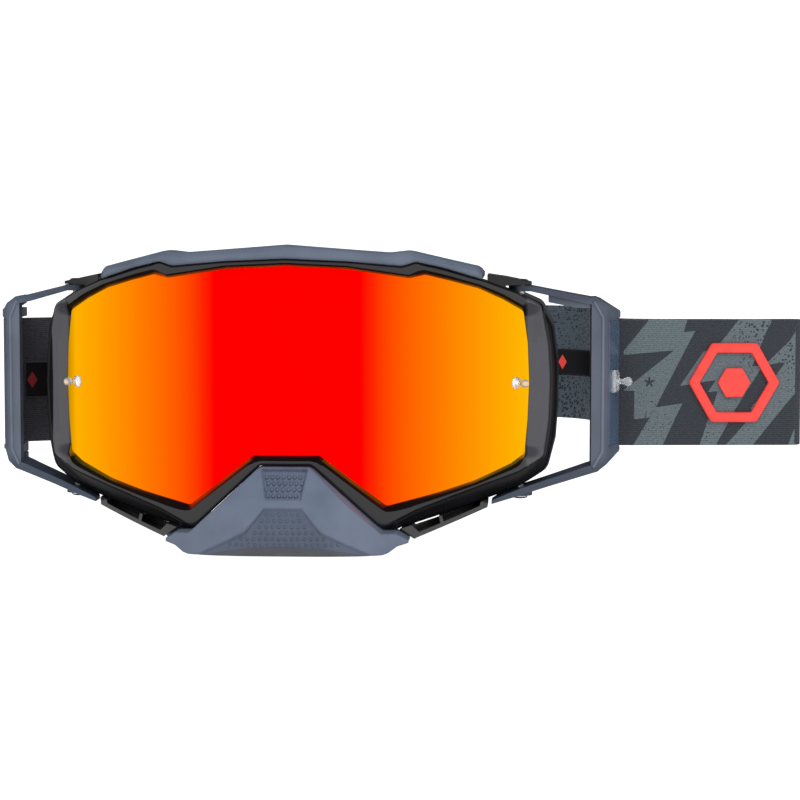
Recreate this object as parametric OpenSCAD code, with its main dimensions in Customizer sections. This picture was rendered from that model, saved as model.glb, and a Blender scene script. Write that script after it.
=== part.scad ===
// Motorcycle goggles with a curved mirror lens, hinged strap outriggers, a clip-on nose guard,
// three-layer face foam and an adjustable strap.
//
// Axes: -Y is the way the wearer looks, +X is the wearer's left, +Z is up.
// Origin: the middle of the face opening, on the plane where the brow foam meets the forehead.
// Outlines are drawn as seen from the front, in X and Z, and cut to depth between upright cylinders.

/* [Lens] */
// Radius of the lens's outer face, about its upright axis
lens_r = 105; // [104.5:0.25:106]
// Distance from the forehead plane to the foremost point of the lens
lens_front = 46; // [46:0.25:47]
// Thickness of the lens sheet
lens_t = 1.5; // [1.2:0.1:1.5]
// How far the lens reaches under the bezel all round
lens_lip = 1.6; // [1.2:0.1:1.6]
// Radius of the stems of the tear-off posts
post_r = 1.2; // [1:0.1:1.3]

/* [Frame] */
// Thickness of the frame's walls
wall = 2.4; // [2:0.1:2.6]
// How far the bezel stands in front of the lens
bezel_proud = 4.5; // [4:0.25:5]
// Thickness of the flange that the lens rests on
seat_t = 3; // [2.5:0.25:3]
// Thickness of the gasket between the lens and its seat
gasket_t = 1; // [0.8:0.1:1]
// Width of the vent slots in the frame's walls
slot_w = 12; // [8:1:14]

/* [Face foam] */
// Radius of the curve that the face rests on
face_r = 110; // [108:0.5:112]
// Width of the foam ring
foam_w = 10; // [8:0.5:10]
// Thickness of the firm base foam
base_foam_t = 6; // [5:0.5:6]
// Thickness of the soft middle foam
mid_foam_t = 4.5; // [4:0.25:4.5]
// Thickness of the fleece that touches the face
fleece_t = 1.5; // [1:0.25:1.5]

/* [Nose guard] */
// Radius of the guard's front, seen from above
guard_r = 60; // [58:0.5:62]
// Thickness of the guard's skin
guard_t = 2.4; // [2:0.1:2.6]
// Clearance round each prong in its socket
prong_gap = 0.2; // [0.15:0.05:0.3]

/* [Outriggers] */
// Sideways distance from the middle to each hinge
hinge_x = 77; // [76.5:0.25:77.25]
// Depth of each hinge
hinge_y = -6; // [-6.25:0.25:-5.75]
// Radius of the hinge screws
screw_r = 1.5; // [1.3:0.1:1.6]
// Clearance round a hinge screw
hinge_gap = 0.06; // [0.04:0.01:0.1]
// Radius of the upright bar that holds the strap
bar_r = 1.7; // [1.5:0.1:1.8]

/* [Strap] */
// Width of the strap
strap_w = 45.5; // [44:0.5:46]
// Thickness of the strap
strap_t = 1.6; // [1.4:0.1:1.6]
// Height of the strap's middle
strap_z = -1.3; // [-1.5:0.1:-1.1]
// Width of the silicone band on the strap's inner face
grip_w = 12; // [8:1:14]
// Thickness of the silicone band
grip_t = 0.5; // [0.3:0.1:0.6]
// Where the slider sits along the back of the strap
slider_x = 20; // [18:1:22]

/* [Hidden] */
$fn = 96;

LEFT = 1;
RIGHT = -1;

lens_axis_y = lens_r - lens_front;      // the lens, bezel and seat are all round this axis
bezel_r = lens_r + bezel_proud;
gasket_r = lens_r - lens_t;
seat_r = gasket_r - gasket_t;
foam_front = -(base_foam_t + mid_foam_t + fleece_t);
fine = 240;                             // facets of the large cylinders

// Half outlines, from the top middle round the wearer's left to the bottom middle.
opening_half = [
    [0, 42.9], [20, 41.9], [40.5, 38.7], [45.5, 39.8], [54, 37.6], [63, 34.9], [71, 31], [78, 26.7],
    [79.5, 15.5], [80, 2.5], [79.5, -10.5], [78.5, -22.2], [74, -25.2], [62, -30], [50, -33.3],
    [33, -37.2], [11, -20], [0, -20]
];
rim_half = [
    [0, 45.3], [20, 44.4], [38.3, 42.6], [42.7, 44], [52, 41.8], [64.6, 37.8], [76, 33.2], [84, 28.6],
    [86.6, 15], [87.3, 2.5], [86.8, -11], [85, -23.4], [77, -28], [66, -31.2], [54, -35],
    [43, -38.8], [31.7, -44.3], [8.5, -22.9], [0, -22.9]
];
frame_half = [
    [0, 43.5], [38, 41.5], [64, 36.2], [70, 33], [77, 32.6], [84.5, 29], [88.4, 21.5], [90.2, 8],
    [90.2, -6], [89.3, -18], [86.5, -28.6], [77, -33.5], [66, -36.6], [50, -41.2], [38, -44.6],
    [31.5, -43.8], [8.2, -22.4], [0, -22.4]
];
brow_top_half = [[0, 50], [34, 47.3], [40.5, 48], [63, 42.3], [65, 40], [64.8, 38]];
brow_low_half = [[0, 45.5], [20, 44.6], [38.3, 42.9], [42.7, 44.3], [52, 42.1]];
brow_under_half = [[0, 47.8], [34, 45.1], [40.5, 45.8], [62.5, 40.2]];
guard_half = [
    [0, -23.3], [8, -23.3], [9, -23.8], [31.7, -44.9], [36.6, -45.3], [41.2, -48.4], [37, -49.6],
    [34, -51.6], [32.3, -52.1], [0, -52.1]
];
guard_edge_half = [
    [0, -23.3], [8, -23.3], [9, -23.8], [31.7, -44.9], [31.7, -48.1], [8.2, -26.5], [0, -26.1]
];
// The guard's front seen from the side, as depth and height
guard_profile = [[-52.5, -22], [-58.8, -33], [-62.4, -41.5], [-62, -45], [-57.5, -52.2]];
guard_back = -20;

opening = mirrored(opening_half);
rim = mirrored(rim_half);
frame_outline = mirrored(frame_half);

prong_x = 17;
prong_size = [5, 16, 2];
prong_z = -36.4;

upper_arm = [
    [72.5, 35.3], [80, 35.3], [101.7, 30.2], [103.4, 30.2], [112.6, 24.4], [112.6, 22.1],
    [103, 28], [100.6, 28], [80.5, 33.3], [72.5, 33.3]
];
lower_arm = [
    [67.6, -36.9], [72.5, -35.4], [78, -33.9], [99.5, -29.4], [104.5, -28.6], [112.6, -23.2],
    [112.6, -25.6], [104, -31.5], [67.6, -38.1]
];
// The deep part of the arm on the wearer's left, seen from the front and from above
arm_web = [[86.5, 32.4], [102.8, 28.8], [102.8, 26.4], [96, 27], [86.5, 29.3]];
arm_web_plan = [[85.5, -3.5], [103, 16.2], [101.8, 17.4], [84.2, -2.3]];
outrigger_side = [
    [96, 31], [103.4, 30.2], [112.6, 24.4], [112.6, -25.6], [104, -31.5], [96, -33]
];
// Seen from above
upper_arm_plan = [
    [77, -10.2], [81, -9.5], [86, -4], [101.7, 14], [107.4, 20], [112.4, 37.5], [112.2, 44],
    [105, 44], [104, 34], [97, 24], [86, 10], [76, -1.9]
];
lower_arm_plan = [
    [67.6, -26.5], [74, -19.5], [86, -4], [101.7, 14], [107.4, 20], [112.4, 37.5], [112.2, 44],
    [105, 44], [104, 34], [97, 24], [86, 10], [76, -1.9], [70, -9], [67.6, -18]
];
upright_plan = [[101.7, 14], [107.4, 20], [112.1, 36], [109.4, 36.8], [105.2, 21.6], [101.2, 17]];
ear_plan = [[105, 34], [112, 34], [112.3, 44], [105, 44]];
recess_plan = [[108.4, 22], [112.3, 34.8], [110.6, 35.2], [106.9, 22.5]];
plate_plan = [[108.25, 22.2], [111.75, 34.1], [110.7, 34.4], [107.2, 22.5]];
recess_z = [-23, 21.5];
boss_r = 4.2;
upper_boss_z = [33.3, 35.3];
lower_boss_z = [-37.2, -35];
lug_side = [
    [66, 39.7], [80.8, 36.6], [80.8, 35.6], [71.8, 35.6], [71.8, 33], [70, 33.1], [66, 35.25]
];
lug_plan = [[66, -27], [70, -23], [81.3, -9], [82, -4.5], [79, -1], [72, -1], [66, -12]];
upper_head_z = 36.5;
lower_head_z = -37.3;

bar_at = [108.6, 40.2];
bar_gap = 0.1;
loop_leg = 7.4;
loop_turn = 155;                         // the right loop points inwards and a little back
window_half = strap_w / 2 + 0.5;
ear_t = 3.2;

// The strap's route seen from above, at the middle of its thickness
front_run = [[116, 37.6], [170.5, 41.9]];
end_length = 16;
left_route = [
    [170.5, 41.9], [174.6, 42.3], [176.7, 43.6], [176.7, 45.4], [174.4, 46.7], [170.5, 46.3], [162, 45.5],
    [148, 44.5], [132, 43.8], [121, 44.4], [114.2, 46.4], [110.6, 50.2], [109.4, 56], [109, 70],
    [108.5, 98], [107, 124], [102, 143], [88, 154.5], [66, 159.3], [50, 160], [20, 160], [-14, 160]
];
right_route = [
    [-86.2, 47.8], [-84.4, 48.7], [-81.8, 51.4], [-79.7, 56], [-77.5, 66], [-75, 82], [-71.5, 100],
    [-65.5, 118], [-56, 135], [-43, 149.5], [-29, 158.5], [-14, 162.8], [0, 163.4], [20, 163.4], [46, 163.4]
];
slider_size = [22, 8.8, 52];
slider_y = 161.7;

function reverse(p) = [for (i = [len(p) - 1 : -1 : 0]) p[i]];
function mirrored(h) = concat(h, [for (p = reverse(h)) if (p[0] > 0) [-p[0], p[1]]]);
function unit(v) = v / norm(v);
// The normal on the left of the way from a to b, which points outwards on a clockwise outline
function side_normal(a, b) = let (d = unit(b - a)) [-d[1], d[0]];
function joint_normal(m, k) = (m + k) / (1 + m * k);
// An outline moved outwards by d all round, or inwards where d is negative
function grown(p, d) = let (n = len(p)) [
    for (i = [0 : n - 1])
        let (before = side_normal(p[(i + n - 1) % n], p[i]), after = side_normal(p[i], p[(i + 1) % n]))
        p[i] + d * joint_normal(before, after)
];
// An open line moved sideways by d
function shifted(p, d) = let (n = len(p)) [
    for (i = [0 : n - 1])
        let (before = side_normal(p[max(i - 1, 0)], p[max(i, 1)]),
             after = side_normal(p[min(i, n - 2)], p[min(i + 1, n - 1)]))
        p[i] + d * joint_normal(before, after)
];
// A smooth curve through the points, with steps pieces between each two
function spline_point(a, b, c, d, t) =
    0.5 * (2 * b + (c - a) * t + (2 * a - 5 * b + 4 * c - d) * t * t + (3 * b - a - 3 * c + d) * t * t * t);
function smooth(p, steps) = let (n = len(p)) concat(
    [for (i = [0 : n - 2], s = [0 : steps - 1])
        spline_point(p[max(i - 1, 0)], p[i], p[i + 1], p[min(i + 2, n - 1)], s / steps)],
    [p[n - 1]]
);
function ribbon(p, near, far) = concat(shifted(p, near), reverse(shifted(p, far)));
function lens_y(x, r) = lens_axis_y - sqrt(r * r - x * x);

// Everything inside an upright cylinder
module upright(r, axis_y) {
    translate([0, axis_y, -100]) cylinder(r = r, h = 200, $fn = fine);
}

// A front outline carried right through from front to back
module through(outline) {
    translate([0, 60, 0]) rotate([90, 0, 0]) linear_extrude(150) polygon(outline);
}

// A plan outline standing between two heights
module standing(plan, low, high) {
    translate([0, 0, low]) linear_extrude(high - low) polygon(plan);
}

// A front outline cut to the space between two cylinders round the lens's axis
module curved(outline, r_out, r_in) {
    intersection() {
        through(outline);
        difference() {
            upright(r_out, lens_axis_y);
            upright(r_in, lens_axis_y);
        }
    }
}

module curved_ring(outer, inner, r_out, r_in) {
    difference() {
        curved(outer, r_out, r_in);
        through(inner);
    }
}

// A ring between two depths of the face's curve, measured at the middle
module face_ring(outer, inner, front, back) {
    difference() {
        intersection() {
            through(outer);
            difference() {
                upright(face_r, face_r + front);
                upright(face_r, face_r + back);
            }
        }
        through(inner);
    }
}

module on_side(side) {
    if (side == LEFT) children();
    else mirror([1, 0, 0]) children();
}

module vent_slots(height) {
    for (x = [-50 : 20 : 50])
        translate([x, lens_y(x, 87), height])
            rotate([0, 0, asin(x / lens_r)])
                cube([slot_w, 8, 24], center = true);
}

module main_frame() {
    color([0.05, 0.05, 0.06])
    difference() {
        union() {
            curved_ring(frame_outline, grown(opening, -1.5), seat_r, seat_r - seat_t);
            difference() {
                through(frame_outline);
                through(grown(frame_outline, -wall));
                difference() {
                    translate([0, 0, -100]) cube([400, 400, 400], center = true);
                    upright(seat_r - 1, lens_axis_y);
                }
                upright(face_r, face_r + foam_front);
            }
            face_ring(frame_outline, grown(frame_outline, -foam_w - 1), foam_front - 2, foam_front);
            for (side = [LEFT, RIGHT]) guard_socket(side);
        }
        vent_slots(40);
        for (side = [LEFT, RIGHT]) {
            for (x = [46, 58, 70])
                translate([side * x, lens_y(x, 87), -38])
                    rotate([0, 0, side * asin(x / lens_r)])
                        cube([slot_w * 0.6, 7, 14], center = true);
            translate([side * hinge_x, hinge_y, -60]) cylinder(r = screw_r + 0.02, h = 120);
            guard_prong_space(side);
        }
    }
}

module guard_socket(side) {
    difference() {
        translate([side * prong_x - 4.5, -42, prong_z - 3])
            cube([9, 7, 9]);
        through(grown(frame_outline, -1));
    }
}

module guard_prong_space(side) {
    translate([side * prong_x, -40, prong_z])
        cube([prong_size[0] + 2 * prong_gap, 20, prong_size[2] + 2 * prong_gap], center = true);
}

module front_bezel() {
    color([0.03, 0.03, 0.035])
    difference() {
        union() {
            curved_ring(rim, opening, bezel_r, lens_r);
            curved_ring(rim, grown(opening, lens_lip + 0.1), lens_r + 0.5, seat_r + 0.05);
        }
        for (side = [LEFT, RIGHT]) at_post(side) cylinder(r = post_r + 1.4, h = 20);
    }
}

module lens() {
    color([1, 0.35, 0])
    difference() {
        curved(grown(opening, lens_lip), lens_r, gasket_r);
        for (side = [LEFT, RIGHT]) at_post(side) cylinder(r = post_r + 0.05, h = 20, center = true);
    }
}

module lens_gasket() {
    color([0.12, 0.12, 0.12])
    curved_ring(grown(opening, lens_lip - 0.1), grown(opening, -1.2), gasket_r, seat_r);
}

// Places something on the lens, with its +Z pointing straight out of the lens's face
module at_post(side) {
    x = 75.6;
    translate([side * x, lens_y(x, lens_r), 2.2])
        rotate([90, 0, side * asin(x / lens_r)])
            children();
}

module tearoff_post(side) {
    color([0.85, 0.9, 0.95, 0.6])
    at_post(side) {
        translate([0, 0, -lens_t - 1.05]) cylinder(r = 2.4, h = 1);
        translate([0, 0, -lens_t - 0.5]) cylinder(r = post_r, h = lens_t + 4.5);
        cylinder(r = 2.1, h = 0.9);
        translate([0, 0, 4.22]) sphere(r = post_r + 0.2);
    }
}

module brow_cover() {
    color([0.42, 0.47, 0.54])
    union() {
        curved(mirrored(concat(brow_top_half, reverse(brow_low_half))), bezel_r + 1.5, bezel_r - 3);
        curved(mirrored(concat(brow_top_half, reverse(brow_under_half))), bezel_r + 1.5, 84);
        for (x = [-45, -15, 15, 45])
            translate([x, lens_y(x, 90), 0])
                rotate([0, 0, asin(x / lens_r)])
                    brow_clip(abs(x));
    }
}

// A post that carries the cover on the frame's top wall
module brow_clip(x) {
    low = x > 38 ? 40.9 : 42.95;
    translate([-3, -2, low]) cube([6, 4, 5]);
}

module base_foam() {
    color([0.2, 0.2, 0.22])
    face_ring(grown(frame_outline, -0.8), grown(frame_outline, -0.8 - foam_w),
        foam_front, foam_front + base_foam_t - 0.05);
}

module middle_foam() {
    color([0.3, 0.3, 0.33])
    face_ring(grown(frame_outline, -1.2), grown(frame_outline, -0.4 - foam_w),
        foam_front + base_foam_t, -fleece_t - 0.05);
}

module face_fleece() {
    color([0.12, 0.12, 0.13])
    face_ring(grown(frame_outline, -1.5), grown(frame_outline, -foam_w), -fleece_t, 0);
}

module vent_lining() {
    difference() {
        curved_ring(grown(frame_outline, -wall - 0.1), grown(frame_outline, -wall - 2), 96, 30);
        upright(face_r, face_r + foam_front - 3);
    }
}

module top_vent_foam() {
    color([0.1, 0.1, 0.1])
    intersection() {
        vent_lining();
        translate([0, 0, 40]) cube([124, 200, 22], center = true);
    }
}

module lower_vent_foam() {
    color([0.1, 0.1, 0.1])
    intersection() {
        vent_lining();
        for (side = [LEFT, RIGHT])
            translate([side * 59, 0, -38]) cube([34, 200, 20], center = true);
    }
}

module lower_vent(side) {
    outline = [[66.4, -36.7], [66.2, -39.4], [42.4, -48.3], [37.6, -44.9], [38, -44.7], [50, -41.3]];
    windows = [
        [[64.3, -36], [63.6, -38.7], [51.7, -43.1], [50.9, -40]],
        [[49.9, -40.5], [50.6, -43.6], [43.6, -46.2], [40.4, -43]]
    ];
    color([0.09, 0.09, 0.1])
    on_side(side)
    difference() {
        curved(outline, lens_r + 1.5, lens_r - 7.5);
        for (w = windows) through(w);
    }
}

module hinge_lug(side) {
    color([0.06, 0.06, 0.07])
    on_side(side)
    difference() {
        intersection() {
            through(lug_side);
            standing(lug_plan, 30, 45);
        }
        difference() {
            through(grown(rim, 0.1));
            upright(seat_r - 0.1, lens_axis_y);
        }
        at_hinge() cylinder(r = screw_r + 0.02, h = 50);
        at_hinge() translate([0, 0, upper_head_z]) cylinder(r = 2.8, h = 10);
    }
}

module at_hinge() {
    translate([hinge_x, hinge_y, 0]) children();
}

module hinge_screws(side) {
    color([0.55, 0.55, 0.57])
    on_side(side) at_hinge() {
        translate([0, 0, 30.6]) cylinder(r = screw_r, h = upper_head_z - 30.6);
        translate([0, 0, upper_head_z]) cylinder(r = 2.6, h = 1);
        translate([0, 0, lower_head_z]) cylinder(r = screw_r, h = -31.2 - lower_head_z);
        translate([0, 0, lower_head_z - 1]) cylinder(r = 2.6, h = 1);
    }
}

// The space in front of the guard's back face, or of its front face where t is 0
module guard_form(t) {
    profile = concat([for (p = guard_profile) p + [t, 0]], [[guard_back, -52.2 - t], [guard_back, -22 + t]]);
    intersection() {
        upright(guard_r - t, guard_r - 63);
        rotate([90, 0, 90])
            translate([0, 0, -60]) linear_extrude(120) polygon(profile);
    }
}

module nose_guard() {
    color([0.42, 0.46, 0.54])
    difference() {
        union() {
            difference() {
                intersection() {
                    guard_form(0);
                    through(mirrored(guard_half));
                }
                guard_hollow();
            }
            difference() {
                intersection() {
                    guard_form(0);
                    through(mirrored(guard_edge_half));
                }
                upright(seat_r + 0.8, lens_axis_y);
            }
            for (side = [LEFT, RIGHT])
                translate([side * prong_x, -37 - prong_size[1] / 2, prong_z])
                    cube(prong_size, center = true);
        }
        below_guard();
    }
}

// What the guard's skin is wrapped round
module guard_hollow() {
    profile = concat(
        [for (p = guard_profile) p + [guard_t, 0]],
        [[guard_profile[4][0] + guard_t, -70], [10, -70], [10, -10], [guard_profile[0][0] + guard_t, -10]]
    );
    intersection() {
        upright(guard_r - guard_t, guard_r - 63);
        rotate([90, 0, 90])
            translate([0, 0, -60]) linear_extrude(120) polygon(profile);
    }
}

module below_guard() {
    translate([0, 0, -152.1]) cube([200, 200, 200], center = true);
}

module outrigger(side) {
    color([0.36, 0.4, 0.47])
    on_side(side)
    difference() {
        union() {
            intersection() {
                through(outrigger_side);
                standing(upright_plan, -32, 31);
            }
            intersection() {
                through(upper_arm);
                standing(upper_arm_plan, 20, 40);
            }
            intersection() {
                through(lower_arm);
                standing(lower_arm_plan, -40, -20);
            }
            intersection() {
                through(outrigger_side);
                for (z = [strap_z + window_half, strap_z - window_half - ear_t])
                    standing(ear_plan, z, z + ear_t);
            }
            if (side == LEFT)
                intersection() {
                    through(arm_web);
                    standing(arm_web_plan, 20, 40);
                }
            at_hinge() {
                boss(upper_boss_z);
                boss(lower_boss_z);
            }
        }
        at_hinge() translate([0, 0, -60]) cylinder(r = screw_r + hinge_gap, h = 120);
        translate([bar_at[0], bar_at[1], -30]) cylinder(r = bar_r + 0.02, h = 60);
        translate([100, 35.6, strap_z - window_half]) cube([20, 20, 2 * window_half]);
        standing(recess_plan, recess_z[0], recess_z[1]);
    }
}

module boss(z) {
    translate([0, 0, z[0]]) cylinder(r = boss_r, h = z[1] - z[0]);
}

module side_plate(side) {
    color([0.2, 0.24, 0.33])
    on_side(side)
    standing(plate_plan, recess_z[0] + 0.1, recess_z[1] - 0.1);
}

module strap_bar(side) {
    low = strap_z - window_half - ear_t;
    color([0.6, 0.6, 0.62])
    on_side(side)
    translate([bar_at[0], bar_at[1], low + 0.4])
        cylinder(r = bar_r, h = 2 * (window_half + ear_t) - 0.8);
}

// The sewn loop round the strap bar: two legs and a half turn, with the far leg behind
module strap_loop(side) {
    inner = bar_r + bar_gap;
    outer = inner + strap_t;
    meet = [loop_leg - 1.4, -inner - 0.1];      // where the far leg comes to lie on the near one
    open = atan2(meet[1], meet[0]) + acos(inner / norm(meet));
    out = [cos(open), sin(open)];
    bend_x = outer * out[0] + (outer * out[1] - strap_t + inner) * tan(open);
    color([0.33, 0.36, 0.4])
    on_side(side)
    translate([bar_at[0], bar_at[1], strap_z - strap_w / 2])
    rotate([0, 0, side == LEFT ? 0 : loop_turn])
    mirror([0, side == LEFT ? 0 : 1, 0]) {
        difference() {
            cylinder(r = outer, h = strap_w);
            translate([0, 0, -1]) cylinder(r = inner, h = strap_w + 2);
            translate([0, 0, -1]) linear_extrude(strap_w + 2)
                polygon([[0, 0], [0, -10], [10, -10], [10, 10 * tan(open)]]);
        }
        linear_extrude(strap_w)
            polygon([[0, -outer], [loop_leg, -outer], [loop_leg, -inner], [0, -inner]]);
        linear_extrude(strap_w)
            polygon([inner * out, meet, [loop_leg, -inner - 0.1], [loop_leg, strap_t - inner],
                [bend_x, strap_t - inner], outer * out]);
    }
}

// The clear post on the left outrigger that a tear-off's tab is hooked over
module tab_post() {
    color([0.85, 0.9, 0.95, 0.6])
    translate([110.09, 28.4, -0.2])
        rotate([0, 90, -16.4]) {
            translate([-4, -3.2, 0]) cube([8, 6.4, 1.2]);
            cylinder(r = 1.4, h = 5);
            translate([0, 0, 5]) sphere(r = 1.65);
        }
}

// A stretch of strap along a route, from the near side to the far side of its middle line
module webbing(route, near, far, width) {
    translate([0, 0, strap_z - width / 2])
        linear_extrude(width) polygon(ribbon(route, near, far));
}

// The strap beside its loop, which bends as the outrigger turns, with the sewn tail behind it
module strap_end(side) {
    half = strap_t / 2;
    inward = [cos(loop_turn), sin(loop_turn)];
    along = side == LEFT ? unit(front_run[1] - front_run[0]) : inward;
    start = side == LEFT ? front_run[0]
        : bar_at + loop_leg * inward + (bar_r + bar_gap + half) * [-inward[1], inward[0]];
    tail = side == LEFT ? [half, half + strap_t] : [-half - strap_t, -half];
    color([0.33, 0.36, 0.4])
    on_side(side) {
        webbing([start + 0.3 * along, start + (end_length - 0.15) * along], -half, half, strap_w);
        webbing([start + 0.3 * along, start + (end_length - 3) * along], tail[0], tail[1], strap_w - 1);
    }
}

module strap_left() {
    along = unit(front_run[1] - front_run[0]);
    color([0.37, 0.41, 0.44])
    webbing(concat([front_run[0] + end_length * along], smooth(left_route, 2)),
        -strap_t / 2, strap_t / 2, strap_w);
}

module strap_right() {
    color([0.2, 0.19, 0.21])
    webbing(smooth(right_route, 2), strap_t / 2, -strap_t / 2, strap_w);
}

function part_of(p, from, to) = [for (i = [from : to]) p[i]];

module grip_band_left() {
    color([0.06, 0.07, 0.08])
    webbing(part_of(smooth(left_route, 2), 28, 38), strap_t / 2, strap_t / 2 + grip_t, grip_w);
}

module grip_band_right() {
    color([0.06, 0.07, 0.08])
    webbing(part_of(smooth(right_route, 2), 2, 19), -strap_t / 2 - grip_t, -strap_t / 2, grip_w);
}

// A raised rubber badge: a six-sided ring round a six-sided boss
module strap_emblem() {
    run = front_run[1] - front_run[0];
    color([0.95, 0.27, 0.25])
    translate([153.3, front_run[0][1] + (153.3 - front_run[0][0]) * run[1] / run[0], strap_z])
    rotate([90, 0, atan2(run[1], run[0])])
    translate([0, 0, strap_t / 2 + 0.01])
    linear_extrude(1.2) {
        difference() {
            circle(r = 16.5, $fn = 6);
            circle(r = 12.4, $fn = 6);
        }
        circle(r = 6, $fn = 6);
    }
}

module strap_slider() {
    channel_y = 6;
    color([0.1, 0.1, 0.11])
    translate([slider_x, slider_y, strap_z]) {
        difference() {
            cube(slider_size, center = true);
            cube([slider_size[0] + 2, channel_y, strap_w + 1.4], center = true);
            cube([slider_size[0] - 8, slider_size[1] + 2, strap_w + 1.4], center = true);
        }
        cube([5, 1.1, strap_w + 2], center = true);
    }
}

main_frame();
front_bezel();
lens();
lens_gasket();
brow_cover();
base_foam();
middle_foam();
face_fleece();
top_vent_foam();
lower_vent_foam();
lower_vent(LEFT);  // lower_vent_left
lower_vent(RIGHT);  // lower_vent_right
tearoff_post(LEFT);  // tearoff_post_left
tearoff_post(RIGHT);  // tearoff_post_right
hinge_lug(LEFT);  // hinge_lug_left
hinge_lug(RIGHT);  // hinge_lug_right
hinge_screws(LEFT);  // hinge_screws_left
hinge_screws(RIGHT);  // hinge_screws_right
nose_guard();
outrigger(LEFT);  // outrigger_left
outrigger(RIGHT);  // outrigger_right
side_plate(LEFT);  // side_plate_left
side_plate(RIGHT);  // side_plate_right
strap_bar(LEFT);  // strap_bar_left
strap_bar(RIGHT);  // strap_bar_right
strap_loop(LEFT);  // strap_loop_left
strap_loop(RIGHT);  // strap_loop_right
tab_post();
strap_end(LEFT);  // strap_end_left
strap_end(RIGHT);  // strap_end_right
strap_left();
strap_right();
grip_band_left();
grip_band_right();
strap_emblem();
strap_slider();
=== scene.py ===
"""Looks of the motorcycle goggles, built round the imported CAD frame.

Lengths are in millimetres until a mesh is made. Those of the stage and inside materials are in metres.
Outlines are lists of (x, z) points seen from the front. Depth is y, and -y is the front.
"""
import math

import bmesh
import bpy
import numpy as np
from mathutils import Matrix, Vector


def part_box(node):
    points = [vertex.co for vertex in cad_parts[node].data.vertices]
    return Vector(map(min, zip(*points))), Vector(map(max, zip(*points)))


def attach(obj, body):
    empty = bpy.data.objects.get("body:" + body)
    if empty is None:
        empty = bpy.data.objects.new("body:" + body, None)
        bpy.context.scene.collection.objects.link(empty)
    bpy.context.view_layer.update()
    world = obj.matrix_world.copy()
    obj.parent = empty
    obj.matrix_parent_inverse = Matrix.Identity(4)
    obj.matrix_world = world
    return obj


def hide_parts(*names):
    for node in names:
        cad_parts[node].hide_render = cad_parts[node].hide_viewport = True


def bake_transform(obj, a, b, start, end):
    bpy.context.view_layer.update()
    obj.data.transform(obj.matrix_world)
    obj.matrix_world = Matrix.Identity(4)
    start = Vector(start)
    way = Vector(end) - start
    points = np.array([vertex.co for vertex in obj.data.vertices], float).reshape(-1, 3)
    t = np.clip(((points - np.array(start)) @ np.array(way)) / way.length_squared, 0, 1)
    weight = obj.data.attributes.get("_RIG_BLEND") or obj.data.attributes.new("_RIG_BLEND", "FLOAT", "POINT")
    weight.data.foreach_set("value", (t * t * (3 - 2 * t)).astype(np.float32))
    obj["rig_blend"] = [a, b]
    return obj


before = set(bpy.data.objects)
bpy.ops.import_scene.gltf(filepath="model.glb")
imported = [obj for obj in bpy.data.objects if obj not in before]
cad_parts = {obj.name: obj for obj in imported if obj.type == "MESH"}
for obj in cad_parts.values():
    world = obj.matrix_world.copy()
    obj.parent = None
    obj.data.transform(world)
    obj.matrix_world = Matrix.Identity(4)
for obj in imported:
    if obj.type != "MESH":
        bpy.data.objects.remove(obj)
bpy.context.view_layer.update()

LENS_AXIS_Y = 59.0      # the lens and the bezel are round this upright axis
LENS_R = 105.0
LENS_T = 1.5
BEZEL_R = 109.5
FACE_R = 110.0
STRAP_Z = -1.3
STRAP_W = 45.5
STRAP_T = 1.6
LEFT, RIGHT = 1, -1     # the wearer's sides: left is +x
SIDES = ((LEFT, "left"), (RIGHT, "right"))
FLANGE_Y = -12.0        # the back of the flange that carries the foam, and how thick it is
FLANGE_T = 2.0
POST_X, POST_Z = 75.6, 2.2
TAB_POST_AT, TAB_POST_WAY = (110.1, 28.4, -0.2), (0.95931, -0.28234)
SCREW_X, SCREW_Y, SCREW_TOP, SCREW_LOW = 77.0, -6.0, 36.5, -37.3
SLOT_R = 87.0           # the middle of the vent slots, as a radius round the lens axis
BROW_BACK_R = 84.0      # and the back of the brow cover's lip

OPENING = [(0, 42.9), (20, 41.9), (40.5, 38.7), (45.5, 39.8), (54, 37.6), (63, 34.9), (71, 31), (78, 26.7),
           (79.5, 15.5), (80, 2.5), (79.5, -10.5), (78.5, -22.2), (74, -25.2), (62, -30), (50, -33.3),
           (33, -37.2), (11, -20), (0, -20)]
RIM = [(0, 45.3), (20, 44.4), (38.3, 42.6), (42.7, 44), (52, 41.8), (64.6, 37.8), (76, 33.2), (84, 28.6),
       (86.6, 15), (87.3, 2.5), (86.8, -11), (85, -23.4), (77, -28), (66, -31.2), (54, -35),
       (43, -38.8), (31.7, -44.3), (8.5, -22.9), (0, -22.9)]
FRAME = [(0, 43.5), (38, 41.5), (64, 36.2), (70, 33), (77, 32.6), (84.5, 29), (88.4, 21.5), (90.2, 8),
         (90.2, -6), (89.3, -18), (86.5, -28.6), (77, -33.5), (66, -36.6), (50, -41.2), (38, -44.6),
         (31.5, -43.8), (8.2, -22.4), (0, -22.4)]
BROW_TOP = [(0, 50), (34, 47.3), (40.5, 48), (63, 42.3)]
BROW_LOW = [(0, 45.5), (20, 44.6), (38.3, 42.9), (42.7, 44.3), (52, 42.1), (64.8, 38)]


# ---------------------------------------------------------------- outlines

def srgb(r, g, b):
    """A colour given in 0 to 255 as the linear numbers that shaders take."""
    return tuple(c / 255 / 12.92 if c <= 10 else ((c / 255 + 0.055) / 1.055) ** 2.4 for c in (r, g, b))


def mirrored(half):
    """The whole outline, clockwise from the top middle."""
    return half + [(-x, z) for x, z in reversed(half) if x > 0]


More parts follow.
